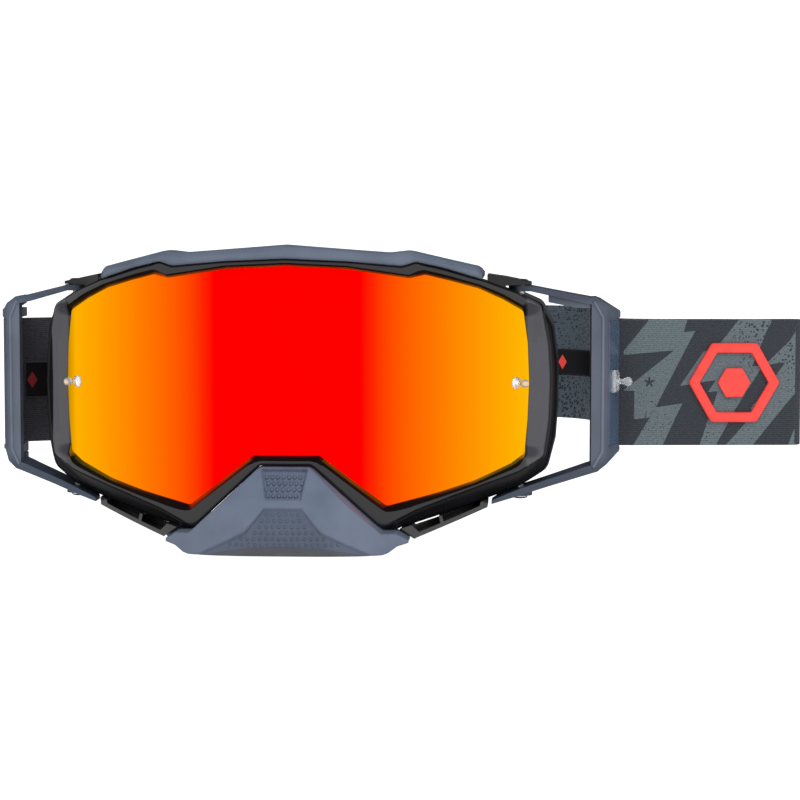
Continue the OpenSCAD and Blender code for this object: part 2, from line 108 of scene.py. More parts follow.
def rounded(points, radius, steps=5):
    """A closed outline with its corners rounded, where their sides are long enough."""
    p = np.array(points, float)
    out = []
    for i in range(len(p)):
        a, b, c = p[i - 1], p[i], p[(i + 1) % len(p)]
        la, lc = np.linalg.norm(a - b), np.linalg.norm(c - b)
        u, v = (a - b) / la, (c - b) / lc
        turn = math.acos(max(-1, min(1, float(u @ v))))
        cut = min(radius / max(math.tan(turn / 2), 1e-6), 0.45 * la, 0.45 * lc)
        for s in np.linspace(0, 1, steps):
            out.append(b + u * cut * (1 - s) ** 2 + v * cut * s ** 2)
    return np.array(out)


def unit(v):
    """Each vector, or the only one, at length 1."""
    return v / np.linalg.norm(v, axis=-1, keepdims=True)


def lengths(line):
    """How far along an open line each of its points is."""
    return np.concatenate([[0], np.cumsum(np.linalg.norm(np.diff(line, axis=0), axis=1))])


def spaced(p, n, closed=True):
    """The line through the points as n points, equally far apart."""
    q = np.vstack([p, p[:1]]) if closed else np.array(p, float)
    d = lengths(q)
    s = np.linspace(0, d[-1], n, endpoint=not closed)
    return np.stack([np.interp(s, d, q[:, k]) for k in range(q.shape[1])], 1)


def outward(p, soften=3):
    """The outward normal at each point of a closed clockwise outline."""
    t = np.roll(p, -1, 0) - np.roll(p, 1, 0)
    n = np.stack([-t[:, 1], t[:, 0]], 1)
    for _ in range(soften):
        n = unit(n)
        n = n + 0.5 * (np.roll(n, 1, 0) + np.roll(n, -1, 0))
    return unit(n)


def reach(p, n, outline):
    """How far along n each point of p is from the outline, where negative is inwards."""
    a, b = outline, np.roll(outline, -1, 0)
    e = b - a
    best = np.full(len(p), np.nan)
    for i in range(len(p)):
        det = n[i, 0] * e[:, 1] - n[i, 1] * e[:, 0]
        det = np.where(abs(det) < 1e-9, 1e-9, det)
        w = a - p[i]
        t = (w[:, 0] * e[:, 1] - w[:, 1] * e[:, 0]) / det
        k = (w[:, 0] * n[i, 1] - w[:, 1] * n[i, 0]) / det
        ok = (k >= -1e-6) & (k <= 1 + 1e-6)
        if ok.any():
            best[i] = t[ok][np.argmin(abs(t[ok]))]
    good = ~np.isnan(best)
    return np.interp(np.arange(len(p)), np.arange(len(p))[good], best[good])


def lens_depth(x, r):
    """The depth at x of the upright cylinder of radius r that the lens and the bezel are parts of."""
    return LENS_AXIS_Y - np.sqrt(np.maximum(r * r - np.asarray(x, float) ** 2, 1.0))


def face_depth(x, offset):
    """The depth at x of the curve that meets the face, moved back by the offset."""
    return offset + FACE_R - np.sqrt(np.maximum(FACE_R ** 2 - np.asarray(x, float) ** 2, 1.0))


def smooth_line(points, steps):
    """A smooth curve through the points of an open line."""
    p = np.array(points, float)
    out = []
    for i in range(len(p) - 1):
        a, b, c, d = p[max(i - 1, 0)], p[i], p[i + 1], p[min(i + 2, len(p) - 1)]
        for t in np.arange(steps) / steps:
            out.append(0.5 * (2 * b + (c - a) * t + (2 * a - 5 * b + 4 * c - d) * t * t
                              + (3 * b - a - 3 * c + d) * t ** 3))
    return np.array(out + [p[-1]])


# ---------------------------------------------------------------- meshes

def add_object(name, data):
    """A new object in the scene."""
    obj = bpy.data.objects.new(name, data)
    bpy.context.scene.collection.objects.link(obj)
    return obj


def finished(name, mesh, material, sharp, join=1e-7, flat=None):
    """An object from a mesh: close points joined, nearly flat faces merged if asked, sharp edges kept.

    In this and in what calls it, material is a key of MATS."""
    bm = bmesh.new()
    bm.from_mesh(mesh)
    bmesh.ops.remove_doubles(bm, verts=bm.verts, dist=join)
    if flat:
        bmesh.ops.dissolve_limit(bm, angle_limit=math.radians(flat), verts=bm.verts, edges=bm.edges)
        bmesh.ops.dissolve_degenerate(bm, dist=join, edges=bm.edges)
    bmesh.ops.recalc_face_normals(bm, faces=bm.faces)
    bm.to_mesh(mesh)
    bm.free()
    mesh.materials.clear()
    mesh.materials.append(MATS[material])
    mesh.shade_smooth()
    mesh.set_sharp_from_angle(angle=math.radians(sharp))
    return add_object(name, mesh)


def make(name, verts, faces, material, sharp=40, uvs=None):
    """A mesh object from points in millimetres, with smooth shading broken at sharp edges."""
    mesh = bpy.data.meshes.new(name)
    mesh.from_pydata([tuple(float(c) * 0.001 for c in v) for v in verts], [], faces)
    if uvs is not None:
        layer = mesh.uv_layers.new(name="path")
        for loop in mesh.loops:
            layer.data[loop.index].uv = uvs[loop.vertex_index]
    return finished(name, mesh, material, sharp)


def skin(stations, closed=False):
    """The points of all the stations, and the faces that join each station to the next."""
    n, count = len(stations[0]), len(stations)
    faces = []
    for s in range(count if closed else count - 1):
        here, ahead = s * n, (s + 1) % count * n
        faces += [(here + i, here + (i + 1) % n, ahead + (i + 1) % n, ahead + i) for i in range(n)]
    return list(np.vstack(stations)), faces


def ring(name, stations, material, sharp=40):
    """A closed ring whose section goes through one closed line of points per station."""
    return make(name, *skin(stations, closed=True), material, sharp)


def solids(name, runs, material, sharp=40, uvs=None):
    """One mesh of solids, each with a closed section given once per station and a face at both ends."""
    verts, faces = [], []
    for stations in runs:
        points, sides = skin(stations)
        n = len(stations[0])
        ends = [range(n), range(len(points) - n, len(points))]
        faces += [tuple(len(verts) + i for i in face) for face in sides + ends]
        verts += points
    return make(name, verts, faces, material, sharp, uvs)


def run(name, stations, material, sharp=40, uvs=None):
    """A single solid through its stations."""
    return solids(name, [stations], material, sharp, uvs)


def with_bevel(obj, width, segments=2, angle=28):
    """Rounds the object's edges that turn by more than the angle."""
    m = obj.modifiers.new("bevel", "BEVEL")
    m.width = width * 0.001
    m.segments = segments
    m.limit_method = "ANGLE"
    m.angle_limit = math.radians(angle)
    m.harden_normals = True
    m.use_clamp_overlap = True
    return obj


def refined(node, width, material, body="root"):
    """A copy of a CAD node's solid with its flat faces joined and its edges rounded, in its place."""
    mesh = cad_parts[node].data.copy()
    for layer in list(mesh.attributes):
        if layer.name == "custom_normal":
            mesh.attributes.remove(layer)
    obj = finished(node + "_piece", mesh, material, 30, join=2e-6, flat=1.2)
    return place(with_bevel(obj, width), body, [node])


def place(obj, body, nodes=()):
    """Lets the piece ride on a body and stand for CAD nodes."""
    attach(obj, body)
    if nodes:
        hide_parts(*nodes)
    return obj


def facing(n, spot):
    """The matrix at the spot whose +z is the level direction n and whose +y is up."""
    n, up = Vector((*n, 0)), Vector((0, 0, 1))
    m = Matrix((up.cross(n), up, n)).transposed().to_4x4()
    m.translation = spot
    return m


def level(outline, height, matrix):
    """An outline at a height along its own +z, placed by the matrix."""
    return [matrix @ Vector((x, y, height)) for x, y in outline]


def extruded(name, outline, depth, material, matrix, sharp=30):
    """A flat outline given depth along its own +z, then placed by the matrix."""
    return run(name, [level(outline, h, matrix) for h in (0, depth)], material, sharp)


def turned(name, profile, material, matrix, steps=32, sharp=40):
    """A profile of (radius, height) turned round +z, then placed by the matrix."""
    a = np.linspace(0, 2 * math.pi, steps, endpoint=False)
    circle = np.stack([np.cos(a), np.sin(a)], 1)
    return run(name, [level(circle * max(r, 0.001), h, matrix) for r, h in profile], material, sharp)


def ball(radius, height, start, count):
    """The profile of a ball round the height, from the angle start in degrees up to its top."""
    return [(radius * math.cos(a), height + radius * math.sin(a))
            for a in np.radians(np.linspace(start, 90, count))]


# ---------------------------------------------------------------- materials

class Value:
    """A node's output. Adding, subtracting or multiplying it makes a maths node."""

    def __init__(self, nodes, socket):
        self.nodes, self.socket = nodes, socket

    def __add__(self, other):
        return self.nodes.math("ADD", self, other)

    def __sub__(self, other):
        return self.nodes.math("SUBTRACT", self, other)

    def __rsub__(self, other):
        return self.nodes.math("SUBTRACT", other, self)

    def __mul__(self, other):
        return self.nodes.math("MULTIPLY", self, other)

    __radd__, __rmul__ = __add__, __mul__


class Nodes:
    """A node tree, with short ways to add and link its nodes."""

    def __init__(self, tree):
        self.tree = tree

    def give(self, socket, value):
        """Links a Value to the socket, or sets the socket to a number or a colour."""
        if isinstance(value, Value):
            self.tree.links.new(value.socket, socket)
        else:
            socket.default_value = (*value, 1) if hasattr(value, "__len__") else value

    def node(self, kind, output, inputs=None, **settings):
        """The named output of a new node, once its settings and inputs are filled in."""
        n = self.tree.nodes.new("ShaderNode" + kind)
        for key, value in settings.items():
            setattr(n, key, value)
        for key, value in (inputs or {}).items():
            self.give(n.inputs[key], value)
        return Value(self, n.outputs[output])

    def here(self):
        """The place on the object, in metres."""
        return self.node("TexCoord", "Object")

    def axes(self, vector=None):
        """The x, y and z of a vector, or of the place on the object."""
        x = self.node("SeparateXYZ", 0, {0: vector or self.here()})
        return [Value(self, socket) for socket in x.socket.node.outputs]

    def away(self, axis):
        """The distance from the middle plane along an axis, in millimetres."""
        return self.math("ABSOLUTE", self.axes()["XYZ".index(axis)]) * 1000

    def share(self, value, low, high, **settings):
        """The value's place from low to high, as 0 to 1."""
        limits = {"Value": value, "From Min": low, "From Max": high}
        return self.node("MapRange", "Result", limits, **settings)

    def between(self, value, low, high):
        """The same with a soft start and end."""
        return self.share(value, low, high, interpolation_type="SMOOTHSTEP")

    def noise(self, scale, detail=4, vector=None):
        """Cloudy noise from 0 to 1."""
        vector = vector or self.here()
        return self.node("TexNoise", "Fac", {"Scale": scale, "Detail": detail, "Vector": vector})

    def cells(self, scale, vector=None):
        """The distance from the nearest of many scattered points."""
        return self.node("TexVoronoi", "Distance", {"Scale": scale, "Vector": vector or self.here()})

    def ramp(self, fac, stops):
        """The colour at fac, between stops of (place, colour or grey)."""
        out = self.node("ValToRGB", "Color", {"Fac": fac})
        elements = out.socket.node.color_ramp.elements
        while len(elements) < len(stops):
            elements.new(0.5)
        for k, (spot, colour) in enumerate(stops):
            elements[k].position = spot
            elements[k].color = (*colour, 1) if hasattr(colour, "__len__") else (colour, colour, colour, 1)
        return out

    def shades(self, source, low, high, dark, light):
        """From the dark colour where the source is low to the light one where it is high."""
        return self.ramp(source, [(low, dark), (high, light)])

    def math(self, operation, *values):
        """A maths node on values and numbers."""
        return self.node("Math", 0, dict(enumerate(values)), operation=operation)

    def mix(self, fac, a, b):
        """Colour a where fac is 0 and b where it is 1."""
        return self.node("Mix", 2, {0: fac, 6: a, 7: b}, data_type="RGBA")


class Shader(Nodes):
    """A material's node tree."""

    def __init__(self, name):
        self.material = bpy.data.materials.new(name)
        self.material.use_nodes = True
        super().__init__(self.material.node_tree)

    def set(self, **values):
        """Sets or links inputs of the surface shader, where _ stands for a space."""
        for key, value in values.items():
            self.give(self.tree.nodes["Principled BSDF"].inputs[key.replace("_", " ")], value)

    def rough(self, source, low, high):
        """Uneven gloss, from the roughness low to high."""
        self.set(Roughness=self.node("MapRange", "Result", {"Value": source, "To Min": low, "To Max": high}))

    def bump(self, height, strength, distance):
        """Relief from a height, with a depth in metres."""
        self.set(Normal=self.node("Bump", "Normal", {"Strength": strength, "Distance": distance,
                                                     "Height": height}))


def scaled(colour, factor):
    """A lighter or darker shade of a linear colour."""
    return tuple(min(1, c * factor) for c in colour)


def plastic(name, colour, rough, spread=0.06, grain=0.15, mottle=0.08, specular=0.5, other=None):
    """Moulded plastic: faint mottling, uneven gloss and a fine moulded grain.

    other is (axis, from, to, colour, end): a second colour along that axis, in mm from the middle, used here
    for painted reflections and painted shade."""
    s = Shader(name)
    mottled = s.shades(s.noise(90), 0.35, 0.65, scaled(colour, 1 - mottle), scaled(colour, 1 + mottle))
    if other:
        axis, begin, full, painted_light_colour, end = other
        share = s.between(s.away(axis), begin, full) - s.between(s.away(axis), end, end + 0.5)
        mottled = s.mix(share, mottled, painted_light_colour)
    s.rough(s.noise(220), rough - spread, rough + spread)
    s.bump(s.noise(5200, 2), grain, 0.00004)
    s.set(Base_Color=mottled, Specular_IOR_Level=specular)
    return s.material


FACET_REFLECTION_X = (78.5, 80)    # where the grey painted reflection on the bezel's side facet begins and is full
ARM_SHADE_Z = (26, 31)        # and where the outriggers' arms take a darker tone as painted shade


def bezel_rim(word, reflection_end):
    """The bezel's outer rim at one side: deep black, and a grey painted reflection on the side facet up to
    the given end in x.
    """
    return plastic(f"bezel_rim_{word}", (0.002, 0.002, 0.003), 0.22, 0.03, 0.04, 0.2, 0.06,
                   other=("X", *FACET_REFLECTION_X, srgb(80, 80, 86), reflection_end))


# The lens's colours as (distance from the middle, colour in 0 to 255), and half its width
LENS_TONES = [(0, (254, 0, 0)), (24.5, (254, 0, 0)), (28.5, (254, 38, 0)), (31, (254, 58, 0)),
              (35.6, (255, 81, 0)), (41, (255, 100, 0)), (46, (255, 113, 1)), (52, (255, 127, 0)),
              (57, (255, 140, 0)), (62.6, (255, 151, 2)), (68, (255, 163, 2)), (73, (255, 172, 2)),
              (79, (255, 185, 10))]
LENS_HALF = 82.0


def lens_material():
    """Mirror coating that runs from red in the middle to gold at both ends."""
    s = Shader("lens_mirror_coating")
    across = s.math("ABSOLUTE", s.axes()[0]) * (1000 / LENS_HALF)
    s.rough(s.noise(60), 0.03, 0.06)
    s.set(Base_Color=s.ramp(across, [(x / LENS_HALF, srgb(*tone)) for x, tone in LENS_TONES]),
          Metallic=1.0, Specular_Tint=(1.0, 0.6, 0.15))
    return s.material


def foam(name, colour, scale):
    """Open-cell foam: small pores over soft lumps, its colour painted dark in the pores as shade and lighter
    between them as painted light.
    """
    s = Shader(name)
    pores = s.cells(scale)
    pore_shade = [(0.0, scaled(colour, 0.25)), (0.35, colour), (0.9, scaled(colour, 1.4))]
    s.bump(pores + s.noise(150) * 1.5, 0.7, 0.0004)
    s.set(Base_Color=s.ramp(pores, pore_shade), Roughness=0.95, Specular_IOR_Level=0.15)
    return s.material


def fleece(name, colour):
    """Brushed fleece: fine fibres over soft lumps."""
    s = Shader(name)
    fibres = s.noise(2600, 6)
    s.bump(fibres + s.noise(240), 0.6, 0.0005)
    s.set(Base_Color=s.shades(fibres, 0.3, 0.7, scaled(colour, 0.5), scaled(colour, 1.6)),
          Roughness=1.0, Specular_IOR_Level=0.1, Sheen_Weight=0.4, Sheen_Roughness=0.6)
    return s.material


def clear_plastic():
    """Clear polycarbonate with faint streaks."""
    s = Shader("clear_polycarbonate")
    s.rough(s.noise(500), 0.03, 0.1)
    s.set(Base_Color=s.shades(s.noise(300), 0.3, 0.7, (0.86, 0.9, 0.93), (0.97, 0.98, 1.0)),
          Transmission_Weight=0.75, IOR=1.5)
    return s.material


def steel():
    """Turned steel with uneven gloss."""
    s = Shader("turned_steel")
    s.rough(s.noise(900), 0.22, 0.38)
    s.bump(s.noise(2500, 2), 0.2, 0.00003)
    s.set(Base_Color=s.shades(s.noise(400), 0.3, 0.7, (0.42, 0.42, 0.44), (0.62, 0.62, 0.64)), Metallic=1.0)
    return s.material


def silicone(name, colour, specular=0.5):
    """Soft moulded rubber."""
    s = Shader(name)
    s.rough(s.noise(350), 0.35, 0.5)
    s.bump(s.noise(1500, 3), 0.25, 0.00008)
    s.set(Base_Color=s.shades(s.noise(200), 0.3, 0.7, scaled(colour, 0.8), colour),
          Specular_IOR_Level=specular)
    return s.material


RIB, WEFT = 0.00072, 0.0006     # how far apart the webbing's ribs and crossing threads are, in metres


def strap_path(s):
    """The place on a strap, in metres: x is along it and y is up it."""
    return s.node("UVMap", "UV", uv_map="path")


def weave(s, path):
    """The height of elastic webbing: fine ribs along the strap, crossed by the weft."""
    x, y, _ = s.axes(path)
    ribs = s.math("SINE", y * (2 * math.pi / RIB))
    weft = s.math("SINE", x * (2 * math.pi / WEFT) + y * (math.pi / RIB))
    return ribs + weft * 0.45 + s.noise(400, 3, path) * 0.8


def plain_webbing(name, colour):
    """Webbing in one colour."""
    s = Shader(name)
    path = strap_path(s)
    height = weave(s, path)
    # The weave's height darkens the grooves between the ribs as painted shade, over random tone.
    shade = height * 0.2 + s.noise(900, 3, path)
    s.bump(height, 0.5, 0.00012)
    s.set(Base_Color=s.shades(shade, 0.2, 0.8, scaled(colour, 0.62), scaled(colour, 1.3)),
          Roughness=0.85, Specular_IOR_Level=0.2, Sheen_Weight=0.15, Sheen_Roughness=0.5)
    return s.material


def piecewise(s, source, points, low, high, span):
    """The line through (input, output) points: inputs run from low to high and outputs from 0 to span."""
    out = s.node("FloatCurve", "Value", {"Value": s.share(source, low, high)})
    mapping = out.socket.node.mapping
    line = mapping.curves[0].points
    while len(line) < len(points):
        line.new(0.5, 0.5)
    for k, (a, b) in enumerate(sorted(points)):
        line[k].location = ((a - low) / (high - low), b / span)
        line[k].handle_type = "VECTOR"
    mapping.use_clip = False
    mapping.update()
    return out * span


# Edges of the dark flashes printed on the strap, as (sheared height, place along the strap)
FLASHES = [
    ([(21, -8), (-29, -8)],
     [(21, 9.3), (11.5, 0.2), (10, 0.2), (8, 18.3), (-2.8, 0.2), (-3.8, 4.1), (-14.2, 4), (-14.4, 9.8),
      (-29, 0)]),
    ([(21, 24), (13.8, 21.6), (13.6, 25.9), (-11.4, 11.7), (-11.7, 21.5), (-29, 12.6)],
     [(21, 47), (14.3, 41.5), (5.8, 33.6), (5.5, 29), (-5.4, 20.4), (-5.7, 33.6), (-9.7, 30.6),
      (-9.9, 34.3), (-29, 27.5)]),
    ([(21, 60), (9, 52), (-3.6, 46.5), (-3.9, 50.5), (-18, 40.5), (-29, 34)],
     [(21, 72), (3, 60), (-4, 51), (-4.3, 58.8), (-19, 46), (-19.3, 49), (-29, 38.5)]),
    ([(21, 78), (-8, 70), (-29, 50)],
     [(21, 78), (-7, 70), (-29, 62)]),
]
FLASH_START, FLASH_PERIOD, FLASH_SHEAR = -8.0, 70.0, 0.2
FOLD = (122, 124)       # where the strap turns back, past which its inner face shows, with specks alone
STAR_X, STAR_Z = 9.4, 0.2


# The top edges of the nose guard's panel and lip, as (distance from the middle, depth below the origin)
PANEL_EDGE = [(0, 36.3), (6.4, 36.3), (12.4, 44.0), (28.5, 52.0), (42, 58.7)]
LIP_EDGE = [(0, 48.7), (10, 49.0), (16, 49.7), (28, 52.1), (42, 58.7)]


def star(s, along, rise):
    """A small five-pointed star printed on the strap, as a shape in polar form."""
    dx, dz = along - STAR_X, rise - STAR_Z
    far = s.math("SQRT", dx * dx + dz * dz)
    point = s.math("ABSOLUTE", s.math("COSINE", s.math("ARCTAN2", dx, dz) * 2.5))
    return s.math("LESS_THAN", far, 0.75 + s.math("POWER", point, 2.5) * 1.2)


def flashes(s, along, up):
    """The dark zigzag flashes, as 0 or 1."""
    ink = None
    for left, right in FLASHES:
        after = s.math("GREATER_THAN", along, piecewise(s, up, left, -38, 22, 80))
        before = s.math("LESS_THAN", along, piecewise(s, up, right, -38, 22, 80))
        ink = after * before if ink is None else s.math("MAXIMUM", ink, after * before)
    return ink


def printed_webbing():
    """Slate webbing printed with dark zigzag flashes and spatter."""
    s = Shader("printed_webbing")
    path = strap_path(s)
    height = weave(s, path)
    x, y, _ = s.axes(path)
    whole, rise = x * 1000, y * 1000
    along = s.math("WRAP", whole - FLASH_START, FLASH_PERIOD, 0.0) + FLASH_START
    wobble = (s.noise(1500, 3, path) - 0.5) * 0.35
    inside = s.between(whole, *FOLD)
    ink = flashes(s, along + wobble, rise - along * FLASH_SHEAR) * (1.0 - inside)
    corner = s.between(whole, 26, 52) * s.between(rise, -6, 14)
    size = s.math("MAXIMUM", corner, inside) * 0.36 + 0.36
    spots = s.math("LESS_THAN", s.cells(850, path), s.noise(45, 2, path) * size)
    where = s.math("GREATER_THAN", s.noise(28, 3, path) + corner * 0.16, 0.54)
    ink = s.math("MAXIMUM", ink, spots * s.math("MAXIMUM", where, inside))
    ink = s.math("MAXIMUM", ink, star(s, whole, rise))
    # The weave's height darkens the grooves between the ribs as painted shade, over random tone in the
    # threads.
    groove_shade_and_thread_tone = height * 0.16 + s.noise(1400, 3, path)

    def cloth(dark, light):
        return s.shades(groove_shade_and_thread_tone, 0.2, 0.8, srgb(*dark), srgb(*light))

    slate = s.mix(inside, cloth((74, 83, 88), (104, 115, 120)), cloth((58, 67, 77), (80, 90, 100)))
    dark = s.mix(inside, cloth((41, 45, 50), (59, 64, 70)), srgb(36, 42, 48))
    s.bump(height, 0.45, 0.00012)
    s.set(Base_Color=s.mix(ink, slate, dark), Roughness=0.85, Specular_IOR_Level=0.2,
          Sheen_Weight=0.1, Sheen_Roughness=0.5)
    return s.material


def guard_slate():
    """The nose guard's plastic: slate, with its engraved panel painted darker and the lip below it painted a
    neutral grey, both as painted shade.
    """
    s = Shader("slate_guard")
    down = s.axes()[2] * -1000
    across = s.away("X")
    panel = s.between(down - piecewise(s, across, PANEL_EDGE, 0, 42, 60), 0.0, 0.25)
    lip = s.between(down - piecewise(s, across, LIP_EDGE, 0, 42, 60), -0.1, 0.3)
    mottle = s.noise(90)
    # The dark tone on the panel and the grey on the lip are painted shade.
    slate, dark, grey = (s.shades(mottle, 0.35, 0.65, srgb(*low), srgb(*high)) for low, high in (
        ((88, 99, 118), (96, 107, 126)), ((70, 79, 97), (78, 87, 105)), ((82, 84, 89), (88, 91, 96))))
    s.rough(s.noise(220), 0.36, 0.46)
    s.bump(s.noise(5200, 2), 0.25, 0.00004)
    s.set(Base_Color=s.mix(lip, s.mix(panel, slate, dark), grey))
    return s.material


def pale_floor():
    """A floor that glows to white, a little more away from the middle."""
    s = Shader("pale_floor")
    fade = s.between(s.node("VectorMath", "Value", {0: s.here()}, operation="LENGTH"), 0.2, 0.6)
    s.set(Base_Color=s.shades(s.noise(0.8, 2), 0.3, 0.7, (0.28, 0.28, 0.28), (0.30, 0.30, 0.30)),
          Roughness=0.9, Specular_IOR_Level=0.0, Emission_Color=(1, 1, 1),
          Emission_Strength=1.0 + fade * 0.15)
    return s.material


MATS = {
    "frame_black": plastic("frame_satin_black", (0.004, 0.004, 0.005), 0.2, 0.04, 0.05, 0.2, 0.3),
    # The bezel's second colour, a grey on its side facets, is a painted reflection.
    "bezel_black": plastic("bezel_gloss_black", (0.005, 0.005, 0.006), 0.16, 0.03, 0.04, 0.2, 0.6,
                           other=("X", *FACET_REFLECTION_X, srgb(64, 64, 69), 85.2)),
    "bezel_rim_left": bezel_rim("left", 87.0),
    "bezel_rim_right": bezel_rim("right", 85.2),
    # An olive painted reflection of the gold lens, on the bezel's inner slope.
    "bezel_lens_reflection": plastic("bezel_painted_lens_reflection", srgb(58, 66, 14), 0.25, 0.04, 0.04, 0.3),
    "vent_black": plastic("vent_black", (0.012, 0.012, 0.013), 0.3, 0.05, 0.1, 0.2, 0.9),
    "slate": plastic("slate_plastic", srgb(99, 109, 126), 0.42, 0.05, 0.25),
    "guard": guard_slate(),
    # Both outriggers are darker copies of the slate, the left darker than the right, as painted shade; their
    # arms are darker still, as painted shade.
    "outrigger_left": plastic("slate_outrigger_left_shaded", srgb(75, 83, 97), 0.36, 0.05, 0.2,
                              other=("Z", *ARM_SHADE_Z, srgb(48, 57, 74), 60)),
    "outrigger_right": plastic("slate_outrigger_right_shaded", srgb(86, 94, 110), 0.36, 0.05, 0.2,
                               other=("Z", *ARM_SHADE_Z, srgb(50, 63, 84), 60)),
    # A darker copy of the slate, as painted shade on the brow, whose face tilts up to the light.
    "brow": plastic("slate_brow_shaded", srgb(86, 96, 112), 0.38, 0.05, 0.25),
    "plate": plastic("navy_gloss_plate", srgb(67, 83, 105), 0.12, 0.04, 0.05),
    "lens": lens_material(),
    "gasket": silicone("gasket_rubber", (0.02, 0.02, 0.02)),
    "base_foam": foam("base_foam", (0.012, 0.012, 0.013), 1400),
    "middle_foam": foam("middle_foam", (0.09, 0.095, 0.105), 1700),
    "fleece": fleece("face_fleece", (0.012, 0.012, 0.014)),
    "vent_foam": foam("vent_foam", (0.008, 0.008, 0.008), 900),
    "clear": clear_plastic(),
    "steel": steel(),
    "print": printed_webbing(),
    "plain": plain_webbing("charcoal_webbing", srgb(62, 60, 66)),
    "silicone": silicone("grip_silicone", srgb(10, 12, 16), 0.25),
    # A darker copy of the emblem's red, as painted shade on the marks of the right grip band.
    "mark": silicone("grip_mark", srgb(150, 34, 36)),
    "emblem": silicone("emblem_rubber", srgb(246, 66, 58)),
    "slider": plastic("slider_black", (0.012, 0.012, 0.013), 0.4, 0.05, 0.3),
    "floor": pale_floor(),
}

# ---------------------------------------------------------------- lens, bezel and frame

COUNT = 900
opening_line = rounded(mirrored(OPENING), 1.6)
rim_line = rounded(mirrored(RIM), 2.2)
frame_line = rounded(mirrored(FRAME), 4.0)
guide = spaced(opening_line, COUNT)
guide = guide + 1.4 * outward(guide, 8)
guide_out = outward(guide, 14)
to_opening = reach(guide, guide_out, opening_line)
to_rim = reach(guide, guide_out, rim_line)
to_frame = reach(guide, guide_out, frame_line)


def soften(a, times):
    """Values round the guide line, each averaged with its neighbours a number of times."""
    for _ in range(times):
        a = (a + 0.5 * (np.roll(a, 1) + np.roll(a, -1))) / 2
    return a


def at(distance):
    """The guide line moved outwards by the distance, as (x, z)."""
    return guide + guide_out * np.asarray(distance)[..., None]


def on_lens(distance, r):
    """The guide line moved outwards, at the lens axis's radius r."""
    p = at(distance)
    return np.stack([p[:, 0], lens_depth(p[:, 0], r), p[:, 1]], 1)


def to_face(distance, offset, ahead=None):
    """Points on the face's curve, or part of the way there from the lens radius ahead."""
    p = at(distance)
    y = face_depth(p[:, 0], offset)
    if ahead:
        r, share = ahead
        y = y * share + lens_depth(p[:, 0], r) * (1 - share)
    return np.stack([p[:, 0], y, p[:, 1]], 1)


def build_lens():
    """The lens as a sheet of upright columns, so that its reflections stay clean."""
    line = opening_line + 1.2 * outward(opening_line, 1)
    half = line[line[:, 0] >= 0]
    tip = int(np.argmax(half[:, 0]))

    def edge(points, x):
        points = points[np.argsort(points[:, 0])]
        return np.interp(abs(x), points[:, 0], points[:, 1])

    stations = []
    for x in np.sin(np.linspace(-math.pi / 2, math.pi / 2, 181)) * (half[tip, 0] - 0.02):
        z = np.linspace(edge(half[tip:][::-1], x), edge(half[:tip + 1], x), 24)
        front, back = lens_depth(x, LENS_R), lens_depth(x, LENS_R - LENS_T)
        stations.append([(x, front, v) for v in z] + [(x, back, v) for v in z[::-1]])
    return place(run("lens_piece", stations, "lens", 50), "root", ["lens"])


def inner_bevel():
    """How wide the bezel's inner slope is at each point of the guide line."""
    x, z = abs(guide[:, 0]), guide[:, 1]
    width = np.full(COUNT, 0.3)
    width[(z > 26) & (x > 42)] = 1.7
    width[(z > 26) & (x <= 42)] = 1.1
    width[(z < -24) & (x > 34)] = 1.9
    width[(z < -20.5) & (x <= 34)] = 1.3
    width[(z < -12) & (x <= 11.5)] = 2.0
    return soften(width, 10)


def build_bezel():
    """The bezel: a proud ring that falls away to the lens in one flat facet at each side."""
    inner, outer = to_opening, to_rim
    slope = np.minimum(inner_bevel(), (outer - inner) * 0.45)
    face_in = inner + slope
    side = (abs(guide[:, 0]) > 76) & (guide[:, 1] > -22) & (guide[:, 1] < 27)
    side = soften(side.astype(float), 8)
    full = BEZEL_R - LENS_R

    def height(proud, low):
        return proud * (1 - side) + low * side

    section = [
        (inner, -1.0), (inner, 0.3), (inner + slope * 0.5, height(2.3, 0.5)),
        (face_in - 0.12, height(full - 0.35, 0.6)), (face_in + 0.12, height(full - 0.05, 0.8)),
        (face_in + 0.4, height(full, 0.95)), ((face_in + outer) / 2, height(full, 2.6)),
        (outer - 0.75, height(full, 4.2)), (outer - 0.35, full - 0.1), (outer - 0.1, full - 0.38),
        (outer, full - 0.9), (outer, 0), (outer - 0.3, -1.6), (inner + 1.2, -1.6)]
    obj = ring("bezel_piece", [on_lens(d, LENS_R + h) for d, h in section], "bezel_black", 32)
    obj.visible_glossy = False                   # the mirror lens would show its far wall
    for key in ("bezel_lens_reflection", "bezel_rim_left", "bezel_rim_right"):
        obj.data.materials.append(MATS[key])
    # Faces of the inner slope that face the lens get the olive painted reflection of the lens.
    for f in obj.data.polygons:
        x, y, z = (c * 1000 for c in f.center)
        beside_nose = 12 < abs(x) < 32 and -36 < z < -21
        lens_reflection_spot = (z > 30 and abs(x) < 41) or beside_nose or (60 < abs(x) < 77 and z < -24)
        inward = f.normal.z * (-1 if z > 26 else 1)
        if lens_reflection_spot and inward > 0.3 and math.hypot(x, y - LENS_AXIS_Y) < LENS_R + 2.0:
            f.material_index = 1
        # The rim's faces at the sides take the rim materials, with the grey painted reflection on their side
        # facet.
        elif abs(x) > 84 and -26 < z < 29:
            f.material_index = 2 if x > 0 else 3
    return place(obj, "root", ["front_bezel"])


